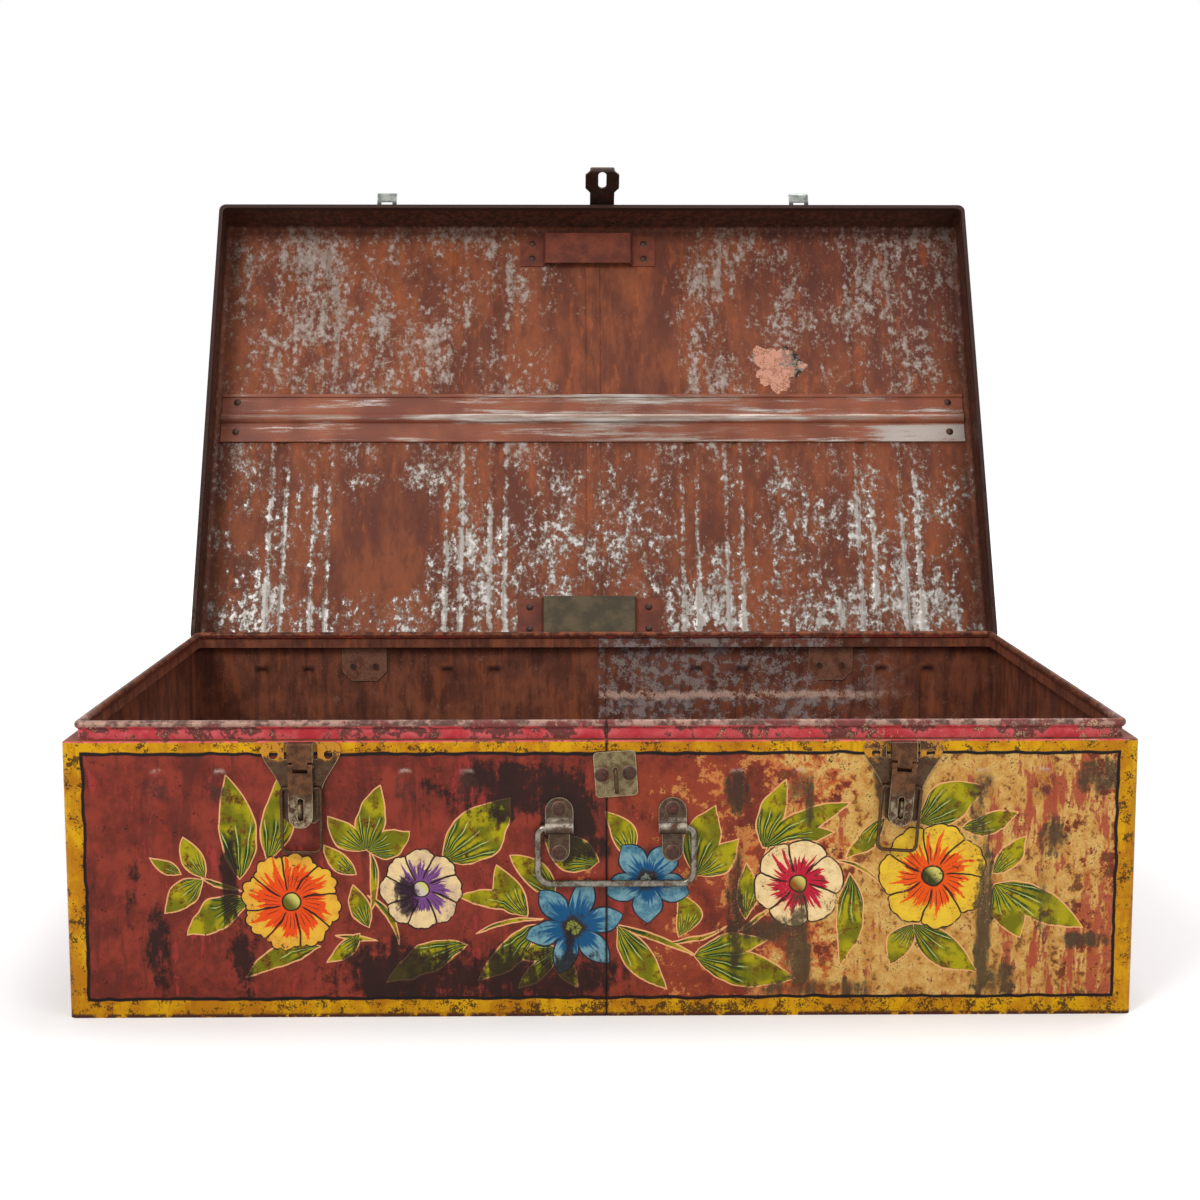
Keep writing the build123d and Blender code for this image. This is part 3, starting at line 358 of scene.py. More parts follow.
def build_pointed_flower(graph, at):
    """A flower of pointed petals, deeper in colour towards the middle, with dark outlines."""
    _, distance, turn, sector, gap = petal_place(graph, at, twist=0.0)
    lean = sector * 2.0 * pi / at.Petals
    along = graph.node("Clamp", distance * graph.math("COSINE", lean) / at.Radius, 0.0, 1.0)
    side = abs(distance * lean.wave())
    width = at.Radius * at.Scallop * along * (1.0 - along) * (2.6 + along * 2.4)
    past_tip = (distance - at.Radius).most(0.0)
    edge = (width - side - past_tip + (at.Grain - 0.5) * 1.2).least(gap + 0.2)
    streak = graph.line_noise(turn, 8.0)
    deep = (at.Reach + (streak - 0.5) * 0.8 - along - side / at.Radius * 0.9).rise(-0.06, 0.08)
    fill = graph.mix(at.Grain.rise(0.42, 0.6), at.Outer, at.Shade)
    fill = graph.mix(deep, fill, at.Inner)
    share = distance / at.Radius + (at.Grain - 0.5) * 0.5
    fill = graph.mix(share.fall(0.16, 0.3), fill, POINTED_MIDDLE)
    fill = graph.mix(share.fall(0.1, 0.13), fill, at.Core)
    color = graph.mix(edge.rise(-0.2, 0.3), at.Under, fill)
    return graph.mix(edge.between(-0.6, 0.35, 0.25), color, POINTED_OUTLINE)


def sockets(kind, *titles):
    return [(title, kind) for title in titles]


STROKE_INPUTS = [
    *sockets("Vector", "Best", "Point", "Base", "Along", "Across"),
    *sockets("Float", "Length", "Width", "Bow"),
]
FLOWER_INPUTS = [
    *sockets("Color", "Under"),
    *sockets("Vector", "Point", "Middle"),
    *sockets("Float", "Radius", "Petals", "Phase", "Scallop", "Reach"),
    *sockets("Color", "Outer", "Shade", "Inner", "Core"),
    *sockets("Float", "Grain"),
]
stroke_group = group("stroke", STROKE_INPUTS, "Vector", build_stroke)
round_flower = group("round_flower", FLOWER_INPUTS, "Color", build_round_flower)
pointed_flower = group("pointed_flower", FLOWER_INPUTS, "Color", build_pointed_flower)

# leaves and stems on the front: foot x, foot z, tip x, tip z, half width, bow
LEAVES = [
    (-206, 81, -213, 142, 10, -3.0), (-190, 92, -183, 139, 9, -3.0), (-226, 82, -238, 106, 6, 1.0),
    (-227, 81, -249, 62, 7, -1.0), (-239, 84, -257, 94, 3.5, 0.0), (-202, 70, -236, 48, 9, -2.0),
    (-161, 42, -204, 24, 6, -4.0), (-134, 98, -156, 118, 7, 2.0), (-134, 98, -126, 136, 8, 1.0),
    (-134, 98, -109, 109, 8, -2.0), (-140, 84, -158, 101, 5, 1.5), (-133, 53, -142, 78, 5.5, 1.0),
    (-138, 49, -157, 32, 4.5, 1.0), (-91, 92, -52, 128, 14, -3.0), (-77, 43, -123, 20, 8, -3.0),
    (-43, 59, -60, 89, 8, 2.5), (-47, 64, -82, 71, 5, -2.0), (-27, 71, -53, 95, 7, -2.0),
    (-38, 55, -71, 21, 7, 2.0), (-26, 40, -48, 16, 5, 1.0), (-26, 40, -47, 34, 5, -1.0),
    (-26, 40, -14, 17, 5, -1.0), (-2, 91, -33, 104, 10, 2.0), (17, 92, 2, 120, 7, -3.0),
    (53, 83, 64, 124, 10, 2.0), (53, 83, 78, 104, 8, -2.0), (44, 46, 42, 73, 7, -7.0),
    (9, 53, 37, 16, 8, -2.0), (53, 35, 111, 22, 10, -1.0), (53, 35, 95, 44, 7, 2.0),
    (82, 57, 82, 90, 6, -1.0), (91, 99, 105, 138, 7, 1.5), (91, 99, 141, 125, 7, 2.0),
    (107, 106, 132, 108, 4, 0.0), (141, 84, 137, 29, 7.5, 3.0), (161, 116, 139, 92, 5, 1.0),
    (181, 112, 217, 135, 11, 2.0), (205, 109, 237, 119, 6, -1.0), (223, 83, 242, 105, 6, -1.0),
    (224, 77, 276, 51, 9, 1.0), (224, 77, 240, 45, 9, 1.0), (178, 54, 215, 26, 9, -2.0),
    (178, 54, 165, 30, 7, -1.0), (-228, 82, -205, 74, 1.5, 0.0), (-132, 98, -133, 60, 2.2, 3.0),
    (-134, 72, -116, 43, 1.9, 4.0), (-72, 49, -34, 58, 1.4, 2.0), (5, 54, 56, 34, 1.7, 2.0),
    (34, 43, 72, 53, 1.2, -3.0), (130, 91, 162, 73, 1.1, 5.0), (-152, 48, -128, 45, 1.4, 0.0),
    (78, 50, 98, 64, 1.2, 0.0), (92, 94, 110, 114, 1.1, 3.0),
]
# petals: outer colour, its shade, inner colour
PETAL_YELLOW = (paint(218, 168, 50), paint(208, 148, 50), paint(216, 70, 14))
PETAL_GOLD = (paint(220, 182, 44), paint(210, 164, 44), paint(220, 78, 10))
PETAL_LILAC = (paint(222, 194, 140), paint(196, 166, 132), paint(112, 66, 122))
PETAL_BLUE = (paint(108, 146, 154), paint(66, 112, 132), paint(16, 74, 114))
PETAL_CRIMSON = (paint(228, 200, 148), paint(214, 182, 128), paint(180, 22, 50))
# flowers on the front: kind, x, z, radius, petals, phase, scallop or petal width, reach, colours, core
FLOWERS = [
    (round_flower, -177, 68, 28.0, 8, 0.4, 0.06, 0.56, PETAL_YELLOW, paint(92, 88, 16)),
    (round_flower, -103, 75, 23.5, 8, 0.2, 0.03, 0.42, PETAL_LILAC, paint(196, 180, 176)),
    (pointed_flower, -16, 53, 29.0, 6, 0.3, 0.26, 0.62, PETAL_BLUE, paint(120, 124, 46)),
    (pointed_flower, 26, 80, 25.0, 5, 0.95, 0.34, 0.55, PETAL_BLUE, paint(120, 130, 120)),
    (round_flower, 112, 78, 26.0, 6, 0.1, 0.01, 0.42, PETAL_CRIMSON, paint(132, 74, 24)),
    (round_flower, 189, 82, 31.0, 7, 0.7, 0.03, 0.44, PETAL_GOLD, paint(48, 52, 14)),
]


def painted_flowers(graph, under, point, wobble, grain):
    """The bunches of flowers over the ground colour of the front."""
    best = graph.join(FAR_OUTSIDE, 0.0, 0.0)
    for x, z, end_x, end_z, half_width, bow in LEAVES:
        length = hypot(end_x - x, end_z - z)
        step = ((end_x - x) / length, (end_z - z) / length)
        best = use(
            graph,
            stroke_group,
            Best=best,
            Point=point,
            Base=(x, z, 0),
            Along=(step[0] / length, step[1] / length, 0),
            Across=(-step[1], step[0], 0),
            Length=length,
            Width=half_width,
            Bow=bow / BELLY_PEAK,
        )
    color = leaf_colors(graph, under, best, wobble, grain)
    for kind, x, z, radius, petals, phase, scallop, reach, (outer, shade, inner), core in FLOWERS:
        color = use(
            graph,
            kind,
            Under=color,
            Point=point,
            Middle=(x, z, 0),
            Radius=radius,
            Petals=petals,
            Phase=phase,
            Scallop=scallop,
            Reach=reach,
            Outer=outer,
            Shade=shade,
            Inner=inner,
            Core=core,
            Grain=grain,
        )
    return color


# ---------------------------------------------------------------- paint of the body and the lid
BRICK = paint(96, 36, 26), paint(132, 50, 36)
BRICK_STREAK = paint(74, 32, 24)
CHIPPED = paint(176, 108, 62)
BORDER_LINE = paint(20, 14, 12)
YELLOW = paint(172, 110, 0), paint(202, 150, 0)
YELLOW_WORN = paint(60, 38, 10)
DARK_EDGE = paint(52, 32, 26)
LINE_WIDTH = 2.0                      # black line inside the yellow border
SWAY = 3.0                            # how far the border wanders


def rib_distance(x):
    """How far a point lies from the middle of the nearest rib."""
    inner, inner_next, outer, outer_next = RIB_PLACES
    half_step = (inner_next - inner) / 2
    middle = (inner + outer_next) / 2
    half_spread = (outer_next - inner - 2 * half_step) / 2
    from_pair = abs(abs(abs(x) - middle) - half_spread)
    return abs(from_pair - half_step)


def aged_red(graph, blotch, streak):
    """Brick red paint, clouded and streaked with age."""
    color = graph.mix(blotch.rise(*CLOUDY), *BRICK)
    return graph.mix(streak.rise(0.5, 0.64) * 0.6, color, BRICK_STREAK)


# ---------------------------------------------------------------- the painted body
WARM_RED = paint(140, 58, 34)
PINK = paint(172, 54, 54)
OCHRE = paint(168, 74, 32), paint(190, 122, 64)
TAN = paint(176, 122, 54), paint(202, 162, 90)
EMBER = paint(150, 48, 40)
FLAKE = paint(98, 62, 32)
CRUST = paint(56, 34, 26)
SOOT_COLORS = paint(32, 19, 16), paint(66, 53, 36)
# painted shade below the ribs' heads, and painted highlight on them
CREST_SHADE = paint(66, 38, 32)
CREST_HIGHLIGHT = paint(190, 164, 152)
SCRATCH = paint(44, 24, 20)
DUST = paint(190, 146, 96)
SPECK = paint(86, 60, 30)
YELLOW_STREAK = paint(154, 94, 0)
FOOT_RUST = paint(70, 34, 22)
ROSE = paint(190, 54, 62), paint(214, 96, 98)
ROSE_WORN = paint(76, 50, 44)
CREAM = paint(200, 168, 130)
BEAD_METAL = paint(92, 66, 58), paint(166, 130, 116)
BEAD_RUST = paint(64, 34, 24), paint(124, 68, 44)
INSIDE_BROWN = paint(98, 56, 43), paint(134, 78, 57)
INSIDE_STREAK = paint(66, 40, 32)
INSIDE_WARM = paint(150, 82, 50)
BLUISH = paint(76, 74, 80), paint(150, 142, 138)
SCUFF = paint(206, 172, 154)
INSIDE_SPECK = paint(146, 104, 82)
# painted shade in the ribs' hollow heads, inside
RIB_HOLLOW_SHADE = paint(34, 20, 18)
SEAM = paint(28, 18, 16)

# soot and rust on the front: x, z, spread in x, spread in z, strength
SOOT = [
    (-55, 132, 46, 20, 0.9), (-20, 118, 18, 34, 0.9), (-95, 24, 80, 26, 0.85),
    (-25, 22, 44, 26, 0.8), (-212, 80, 7, 34, 0.9), (-206, 35, 10, 30, 0.8),
    (-252, 40, 8, 34, 0.8), (-268, 70, 9, 50, 0.45), (-110, 72, 12, 14, 0.7),
    (-76, 96, 8, 16, 0.55), (-18, 48, 10, 12, 0.6), (-6, 98, 12, 9, 0.8), (112, 40, 9, 36, 0.95),
    (76, 60, 6, 44, 0.9), (96, 50, 26, 10, 0.85), (117, 128, 6, 20, 0.7), (76, 132, 9, 14, 0.8),
    (218, 55, 6, 50, 0.95), (214, 120, 6, 30, 0.6), (252, 70, 5, 40, 0.6), (258, 104, 10, 14, 0.75),
    (290, 140, 22, 14, 0.8), (278, 44, 26, 6, 0.7), (225, 20, 16, 14, 0.8), (120, 16, 60, 8, 0.65),
    (160, 140, 10, 18, 0.7),
]
SOOT_FADE = 0.6                       # how fast a spot fades away from its middle
BORDER_SIDE = 10.5                    # width of the yellow border at the sides
BORDER_FOOT = 10.0
BORDER_HEAD = 154.6                   # its lower edge along the top
SCUFF_BANDS = ((120.0, 125.0), (99.0, 103.0))


def body_place(graph):
    """What the body's paint depends on: place, facing, and noises of several kinds."""
    at = SimpleNamespace()
    point, normal = graph.place()
    at.x, at.y, at.z = graph.split(point)
    normal_x, normal_y = graph.split(normal)[:2]
    at.fine = graph.noise(point, 0.9, 3.0, 0.7)
    at.wobble = graph.noise(point, 0.07, 1.0)
    at.crumb = graph.noise(point, 0.13, 7.0, 0.72)
    at.blotch = graph.noise(point, 0.045, 5.0, 0.68)
    at.streak = graph.noise(point, 0.12, 5.0, 0.68, stretch=(1.0, 1.0, 5.0))
    at.side_face = abs(normal_x).rise(0.6, 0.8)
    near_side = abs(at.x).rise(285.0, 300.0)
    facing = normal_x * at.x * near_side / HALF_WIDTH + normal_y * at.y / HALF_DEPTH
    at.outward = facing.rise(0.05, 0.3)
    at.front = normal_y.fall(-0.6, -0.3) * at.y.fall(-186.0, -180.0)
    return at


def front_ground(graph, at):
    """The worn ground of the front: brick red on the left, rubbed to ochre and tan on the right."""
    x, blotch, streak, crumb = at.x, at.blotch, at.streak, at.crumb
    mottle = crumb * 0.55 + blotch * 0.45
    color = aged_red(graph, blotch, streak)
    color = graph.mix(x.rise(1.0, 6.0) * blotch.rise(0.3, 0.55) * 0.7, color, WARM_RED)
    pink = (streak * 0.5 + blotch * 0.5).fall(0.38, 0.43) * x.fall(20.0, 60.0)
    color = graph.mix(pink * 0.5, color, PINK)
    bare = x.rise(-10.0, 190.0) - x.rise(230.0, 300.0) * 0.35
    chipped = (mottle + bare * 0.2).rise(0.58, 0.61)
    ochre = graph.mix(crumb.rise(0.42, 0.56), *OCHRE)
    color = graph.mix(chipped * x.rise(-50.0, 0.0) * 0.9, color, ochre)
    rubbed = (mottle + bare * 0.3 + x.rise(110.0, 210.0) * 0.05).rise(0.70, 0.76)
    tan = graph.mix(crumb.rise(0.4, 0.6), *TAN)
    color = graph.mix(rubbed, color, tan)
    ember = (streak * 0.5 + mottle * 0.5 + x.rise(180.0, 290.0) * 0.08).rise(0.555, 0.595)
    color = graph.mix(ember * rubbed * 0.85, color, EMBER)
    flakes = (crumb * 0.7 + streak * 0.3).fall(0.41, 0.44) * x.rise(50.0, 130.0)
    return graph.mix(flakes * 0.8, color, FLAKE)


def stains(graph, at):
    """Soot and rust over the painting: where it gathers, times how it breaks up."""
    gathered = None
    for spot_x, spot_z, wide, high, strength in SOOT:
        across = (at.x - spot_x) * (1 / wide)
        up = (at.z - spot_z) * (1 / high)
        spot = graph.math("MULTIPLY_ADD", across, across, up * up) * -SOOT_FADE + strength
        gathered = spot if gathered is None else gathered.most(spot)
    broken = at.crumb * 0.5 + at.streak * 0.5 - 0.5
    return (gathered.most(-0.6) + broken * 3.4).rise(0.3, 0.7)


def outside_paint(graph, at):
    """Plain aged red, with the flowers on the front."""
    drift = (at.wobble - 0.5) * 3.0
    flat = graph.join(at.x + drift, at.z - drift + (at.crumb - 0.5) * 1.5)
    ground = front_ground(graph, at)
    plain = aged_red(graph, at.blotch, at.streak)
    crust = (at.crumb * 0.7 + at.streak * 0.3).rise(0.57, 0.62)
    plain = graph.mix(crust * 0.7, plain, CRUST)
    chipped = (at.crumb * 0.6 + at.blotch * 0.4).fall(0.38, 0.41)
    plain = graph.mix(chipped * 0.7, plain, CHIPPED)
    return graph.mix(at.front, plain, painted_flowers(graph, ground, flat, at.wobble, at.crumb))


def wear(graph, color, at, rib_side):
    """Painted highlights on the heads of the ribs with painted shade just below them, soot, scratches,
    dust and specks over the outside.
    """
    # painted highlight on each rib's head, painted shade in an arch below it
    arch = rib_side * rib_side * 0.06 + at.z
    shade_under_crest = rib_side.fall(3.0, 8.0) * arch.between(RIB_HEAD - 16, RIB_HEAD - 2, 3.0) * at.front
    crest_highlight = rib_side.fall(1.0, 5.0) * arch.between(RIB_HEAD - 0.5, RIB_HEAD + 1, 1.2) * at.front
    soot = stains(graph, at) * at.front
    color = graph.mix(soot * 0.92, color, graph.mix(at.x.rise(40.0, 110.0), *SOOT_COLORS))
    color = graph.mix(shade_under_crest * at.crumb.rise(0.4, 0.56) * 0.8, color, CREST_SHADE)
    color = graph.mix(crest_highlight * at.crumb.rise(0.42, 0.56) * 0.7, color, CREST_HIGHLIGHT)
    scratches = (at.fine * 0.45 + at.crumb * 0.55).rise(0.585, 0.625)
    color = graph.mix(scratches * 0.85, color, SCRATCH)
    dust = (at.fine * 0.6 + at.streak * 0.4).fall(0.36, 0.42) * at.x.rise(-40.0, 160.0)
    color = graph.mix(dust * 0.5, color, DUST)
    specks = (at.fine * 0.55 + at.crumb * 0.45).rise(0.56, 0.6) * at.x.rise(30.0, 140.0) * at.front
    return graph.mix(specks * 0.5, color, SPECK), scratches


def border(graph, color, at):
    """Yellow border with a black line inside it."""
    to_side = HALF_WIDTH - abs(at.x)
    to_side = to_side + at.side_face * (HALF_DEPTH - abs(at.y) - to_side)
    sway = (at.wobble - 0.5) * SWAY
    inner = (to_side - BORDER_SIDE).least(at.z - BORDER_FOOT).least(BORDER_HEAD - at.z) + sway
    color = graph.mix(inner.between(0.0, LINE_WIDTH, 0.4), color, BORDER_LINE)
    yellow = graph.mix(at.blotch.rise(*CLOUDY), *YELLOW)
    yellow = graph.mix(at.streak.rise(0.52, 0.6) * 0.5, yellow, YELLOW_STREAK)
    low = at.z.fall(2.0, 14.0) * (at.x + 120.0).rise(20.0, 60.0)
    worn = (at.crumb * 0.6 + at.fine * 0.4 + low * 0.03).rise(0.537, 0.565)
    yellow = graph.mix(worn * 0.9, yellow, YELLOW_WORN)
    yellow = graph.mix(at.z.fall(1.2, 3.2) * at.crumb.rise(0.38, 0.46), yellow, FOOT_RUST)
    return graph.mix(inner.fall(-0.3, 0.3), color, yellow)


def ledge_and_rim(graph, color, at):
    """Rose-red ledge and rim, rubbed to dark metal along the bead."""
    rose = graph.mix(at.blotch.rise(0.35, 0.6), *ROSE)
    patchy = at.crumb * 0.5 + at.blotch * 0.5
    rubbed = (patchy + at.z.rise(SHOULDER, SHOULDER + 9.5) * 0.05).rise(0.515, 0.55)
    rose = graph.mix(rubbed * 0.85, rose, ROSE_WORN)
    cream = (at.fine * 0.4 + at.crumb * 0.6 + at.x.rise(-100.0, 280.0) * 0.04).rise(0.585, 0.615)
    rose = graph.mix(cream * 0.8, rose, CREAM)
    bead = at.z.rise(BEAD_FOOT - 0.6, BEAD_FOOT + 0.6)
    bare = graph.mix(at.crumb.rise(0.42, 0.58), *BEAD_METAL)
    rusty = graph.mix(at.crumb.rise(0.42, 0.58), *BEAD_RUST)
    far = at.y.rise(-170.0, -120.0)
    rubbed_bead = bead * at.blotch.fall(0.54, 0.60).most(far)
    rose = graph.mix(rubbed_bead, rose, graph.mix(far, bare, rusty))
    return graph.mix(at.z.rise(SHOULDER - 1.0, SHOULDER - 0.4), color, rose), bead


def inside_paint(graph, at, rib_side):
    """Brown primer, rubbed to grey on the right half of the back, with painted shade at the heads of the
    ribs.
    """
    deep = graph.mix(at.blotch.rise(0.35, 0.65), *INSIDE_BROWN)
    deep = graph.mix(at.streak.rise(0.48, 0.62) * 0.6, deep, INSIDE_STREAK)
    deep = graph.mix(at.streak.fall(0.36, 0.44) * 0.6, deep, INSIDE_WARM)
    right_back = at.x.rise(2.0, 4.0) * at.x.fall(90.0, 270.0) * at.y.rise(150.0, 180.0)
    patchy = at.blotch * 0.3 + at.crumb * 0.4 + at.fine * 0.3
    greyed = (right_back * 0.035 + patchy).rise(0.52, 0.56) * right_back.rise(0.0, 0.5)
    bluish = graph.mix(at.crumb.rise(0.46, 0.56), *BLUISH)
    deep = graph.mix(greyed * 0.8, deep, bluish)
    height_of_scuff = (at.streak - 0.5) * 10.0 + at.z
    upper, lower = [height_of_scuff.between(foot, head, 1.5) for foot, head in SCUFF_BANDS]
    scuff = upper.most(lower) * right_back.rise(0.0, 0.4) * (patchy + right_back * 0.03).rise(0.48, 0.53)
    deep = graph.mix(scuff * 0.85, deep, SCUFF)
    deep = graph.mix((at.fine * 0.4 + at.crumb * 0.6).rise(0.57, 0.61) * 0.6, deep, INSIDE_SPECK)
    # painted shade in the hollow heads of the ribs, seen from inside
    shade_in_rib_hollow = rib_side.fall(3.0, 7.0) * at.z.between(RIB_HEAD - 3, RIB_HEAD + 1, 1.5)
    return graph.mix(shade_in_rib_hollow * 0.7, deep, RIB_HOLLOW_SHADE)


def body_paint(graph):
    """The body's walls, dressed outside and plain inside."""
    at = body_place(graph)
    color = outside_paint(graph, at)
    rib_side = rib_distance(at.x)
    color, scratches = wear(graph, color, at, rib_side)
    color = border(graph, color, at)
    color, bead = ledge_and_rim(graph, color, at)
    deep = inside_paint(graph, at, rib_side)
    inside = (1.0 - at.outward) * at.z.fall(CURL_END - 1.0, CURL_END + 1.0)
    color = graph.mix(inside, color, deep)
    seam = abs(at.x - SEAM_X).fall(0.3, 1.4) * at.outward
    color = graph.mix(seam * 0.85, color, SEAM)
    roughness = at.crumb * 0.3 + inside * 0.15 + 0.26
    height = at.fine * 0.2 + at.crumb * 0.6 + at.blotch * 0.6 - scratches * 0.4
    return color, roughness, bead * 0.3, height, 0.3


FLOOR_BROWN = paint(62, 36, 28), paint(96, 56, 42)
FLOOR_DUST = paint(124, 96, 80)


def floor_paint(graph):
    """The floor inside the trunk: dull brown, dusty."""
    point, _ = graph.place()
    blotch = graph.noise(point, 0.02, 5.0, 0.7)
    fine = graph.noise(point, 0.7, 3.0, 0.7)
    color = graph.mix(blotch.rise(0.35, 0.65), *FLOOR_BROWN)
    color = graph.mix(fine.rise(0.6, 0.66) * 0.6, color, FLOOR_DUST)
    return color, 0.55, 0.0, fine * 0.5 + blotch, 0.2


# ---------------------------------------------------------------- the lid
PRIMER = paint(98, 52, 38), paint(132, 72, 46)
PRIMER_DULL = paint(84, 46, 42)
PRIMER_STREAK = paint(84, 44, 34)
PRIMER_WARM = paint(158, 84, 48)
PRIMER_CRUMB = paint(92, 58, 46)
PRIMER_THIN = paint(150, 124, 108)
ZINC = paint(164, 156, 148), paint(214, 212, 208)
# painted shade on the skirt's inner faces and into the lid's corners
SKIRT_SHADE = DARK_EDGE, paint(90, 52, 38)
LID_WORN = paint(50, 28, 22)
LID_BORDER = 10.0                     # width of the yellow border on the lid
STRAP_BROWN = paint(112, 58, 40), paint(142, 78, 52)
STRAP_SPECK = paint(84, 42, 34)
STRAP_ZINC = paint(142, 124, 112), paint(200, 194, 186)
BRIDGE_BROWN = paint(92, 46, 34), paint(120, 60, 42)
BRIDGE_GREY = paint(66, 58, 42), paint(92, 78, 56)


def closed_place(graph):
    """Point and normal as if the lid were closed."""
    point, normal = graph.place()
    turned = []
    for vector, centre in ((point, PIN), (normal, (0.0, 0.0, 0.0))):
        made = graph.node("VectorRotate", vector, centre, rotation_type="X_AXIS")
        made.socket.node.inputs["Angle"].default_value = radians(OPEN_ANGLE)
        turned.append(made)
    return turned


def primer(graph, x, point, reach):
    """Red-brown primer scratched through to zinc, whiter along the rib edges low on the lid as a painted
    highlight: its colour, the bare metal with that highlight, and the crumbly noise.

    Reach is the distance from the hinges along the lid.
    """
    blotch = graph.noise(point, 0.02, 4.0, 0.65, stretch=(0.7, 2.0, 1.0))
    streak = graph.noise(point, 0.14, 5.0, 0.7, stretch=(1.0, 4.0, 1.0))
    crumb = graph.noise(point, 0.22, 8.0, 0.76, stretch=(1.0, 1.3, 1.0))
    patch = graph.noise(point, 0.022, 3.0, 0.6, stretch=(1.0, 1.3, 1.0))
    color = graph.mix(blotch.rise(0.38, 0.6), *PRIMER)
    color = graph.mix(x.rise(60.0, 220.0) * reach.rise(200.0, 330.0) * 0.6, color, PRIMER_DULL)
    color = graph.mix(streak.rise(0.5, 0.64) * 0.55, color, PRIMER_STREAK)
    color = graph.mix(streak.fall(0.34, 0.44) * 0.6, color, PRIMER_WARM)
    color = graph.mix(crumb.fall(0.36, 0.46) * 0.5, color, PRIMER_CRUMB)
    # rib edges: scraped paint, and painted highlight
    rib_edge_wear_and_highlight = abs(rib_distance(x) - RIB_HALF_WIDTH).fall(0.8, 3.2)
    low = reach.fall(120.0, 200.0)
    hem = reach.fall(40.0, 75.0)
    clean = abs(x + 172.0).fall(26.0, 42.0) * abs(reach - 98.0).fall(30.0, 50.0)
    clean = clean + abs(x - 20.0).fall(30.0, 60.0) * reach.rise(200.0, 230.0)
    chalky = x.fall(-90.0, 0.0) * reach.rise(205.0, 225.0)
    laid = crumb * 0.6 + streak * 0.28 + patch * 0.32 + chalky * 0.014
    scraped = laid + rib_edge_wear_and_highlight * low * 0.055 + rib_edge_wear_and_highlight * 0.02 + low * 0.004 + hem * 0.035
    bare = scraped - clean * 0.1
    thin = bare.rise(0.61, 0.65)
    # brightest zinc, stronger low on the lid, partly painted highlight
    bright = bare.rise(0.65, 0.675) * (low * 0.6 + 0.4)
    color = graph.mix(thin * 0.6, color, PRIMER_THIN)
    zinc = graph.mix(crumb.rise(0.5, 0.66), *ZINC)
    return graph.mix(bright * 0.95, color, zinc), bright, crumb


def lid_paint(graph):
    """The lid: primer inside, the body's red with its yellow border outside."""
    point, normal = closed_place(graph)
    x, y, z = graph.split(point)
    normal_x, normal_y, normal_z = graph.split(normal)
    reach = PIN[1] - y
    fine = graph.noise(point, 0.9, 3.0, 0.7)
    wobble = graph.noise(point, 0.07, 1.0)
    streak = graph.noise(point, 0.08, 4.0, 0.65, stretch=(1.0, 4.0, 4.0))
    color, bare, crumb = primer(graph, x, point, reach)

    # inner faces of the skirt painted darker, and the panel darkened towards the skirts and into the
    # corners: painted shade
    skirt = z.fall(PANEL_TOP - 5.0, PANEL_TOP - 1.0)
    dark = graph.mix(crumb.rise(0.4, 0.6), *SKIRT_SHADE)
    color = graph.mix(skirt, color, dark)
    edge_near = (HALF_WIDTH - abs(x)).least(HALF_DEPTH - abs(y))
    color = graph.mix(edge_near.fall(2.0, 18.0) * 0.6, color, dark)

    # outside: the same red with a yellow border, worn
    cloud = graph.noise(point, 0.045, 5.0, 0.68)
    red = aged_red(graph, cloud, streak)
    red = graph.mix((crumb * 0.6 + cloud * 0.4).fall(0.38, 0.41) * 0.7, red, CHIPPED)
    to_edge = edge_near + (wobble - 0.5) * SWAY
    on_top = normal_z.rise(-0.02, 0.02) * z.rise(PANEL_TOP + 0.3, PANEL_TOP + 0.6)
    yellow = graph.mix(cloud.rise(*CLOUDY), *YELLOW)
    yellow = graph.mix((crumb * 0.6 + fine * 0.4).rise(0.545, 0.575) * 0.9, yellow, YELLOW_WORN)
    line = to_edge.between(LID_BORDER, LID_BORDER + LINE_WIDTH, 0.4)
    red = graph.mix(on_top * line, red, BORDER_LINE)
    red = graph.mix(on_top * to_edge.fall(LID_BORDER - 0.4, LID_BORDER + 0.2), red, yellow)
    red = graph.mix((crumb * 0.6 + fine * 0.4).rise(0.58, 0.62), red, LID_WORN)
    outward = normal_x * x / HALF_WIDTH + normal_y * y / HALF_DEPTH
    outside = (outward.rise(0.05, 0.3) * edge_near.fall(4.0, 8.0)).most(on_top)
    color = graph.mix(outside, color, red)
    hem = z.fall(LID_HEM - 0.5, LID_HEM + 0.5)
    color = graph.mix(hem * crumb.rise(0.3, 0.55), color, DARK_EDGE)

    roughness = 0.55 - bare * 0.2 + fine * 0.1 - outside * 0.1
    height = fine * 0.25 - bare * 0.8 + streak * 0.6
    return color, roughness, bare * (1.0 - outside) * 0.3, height, 0.25


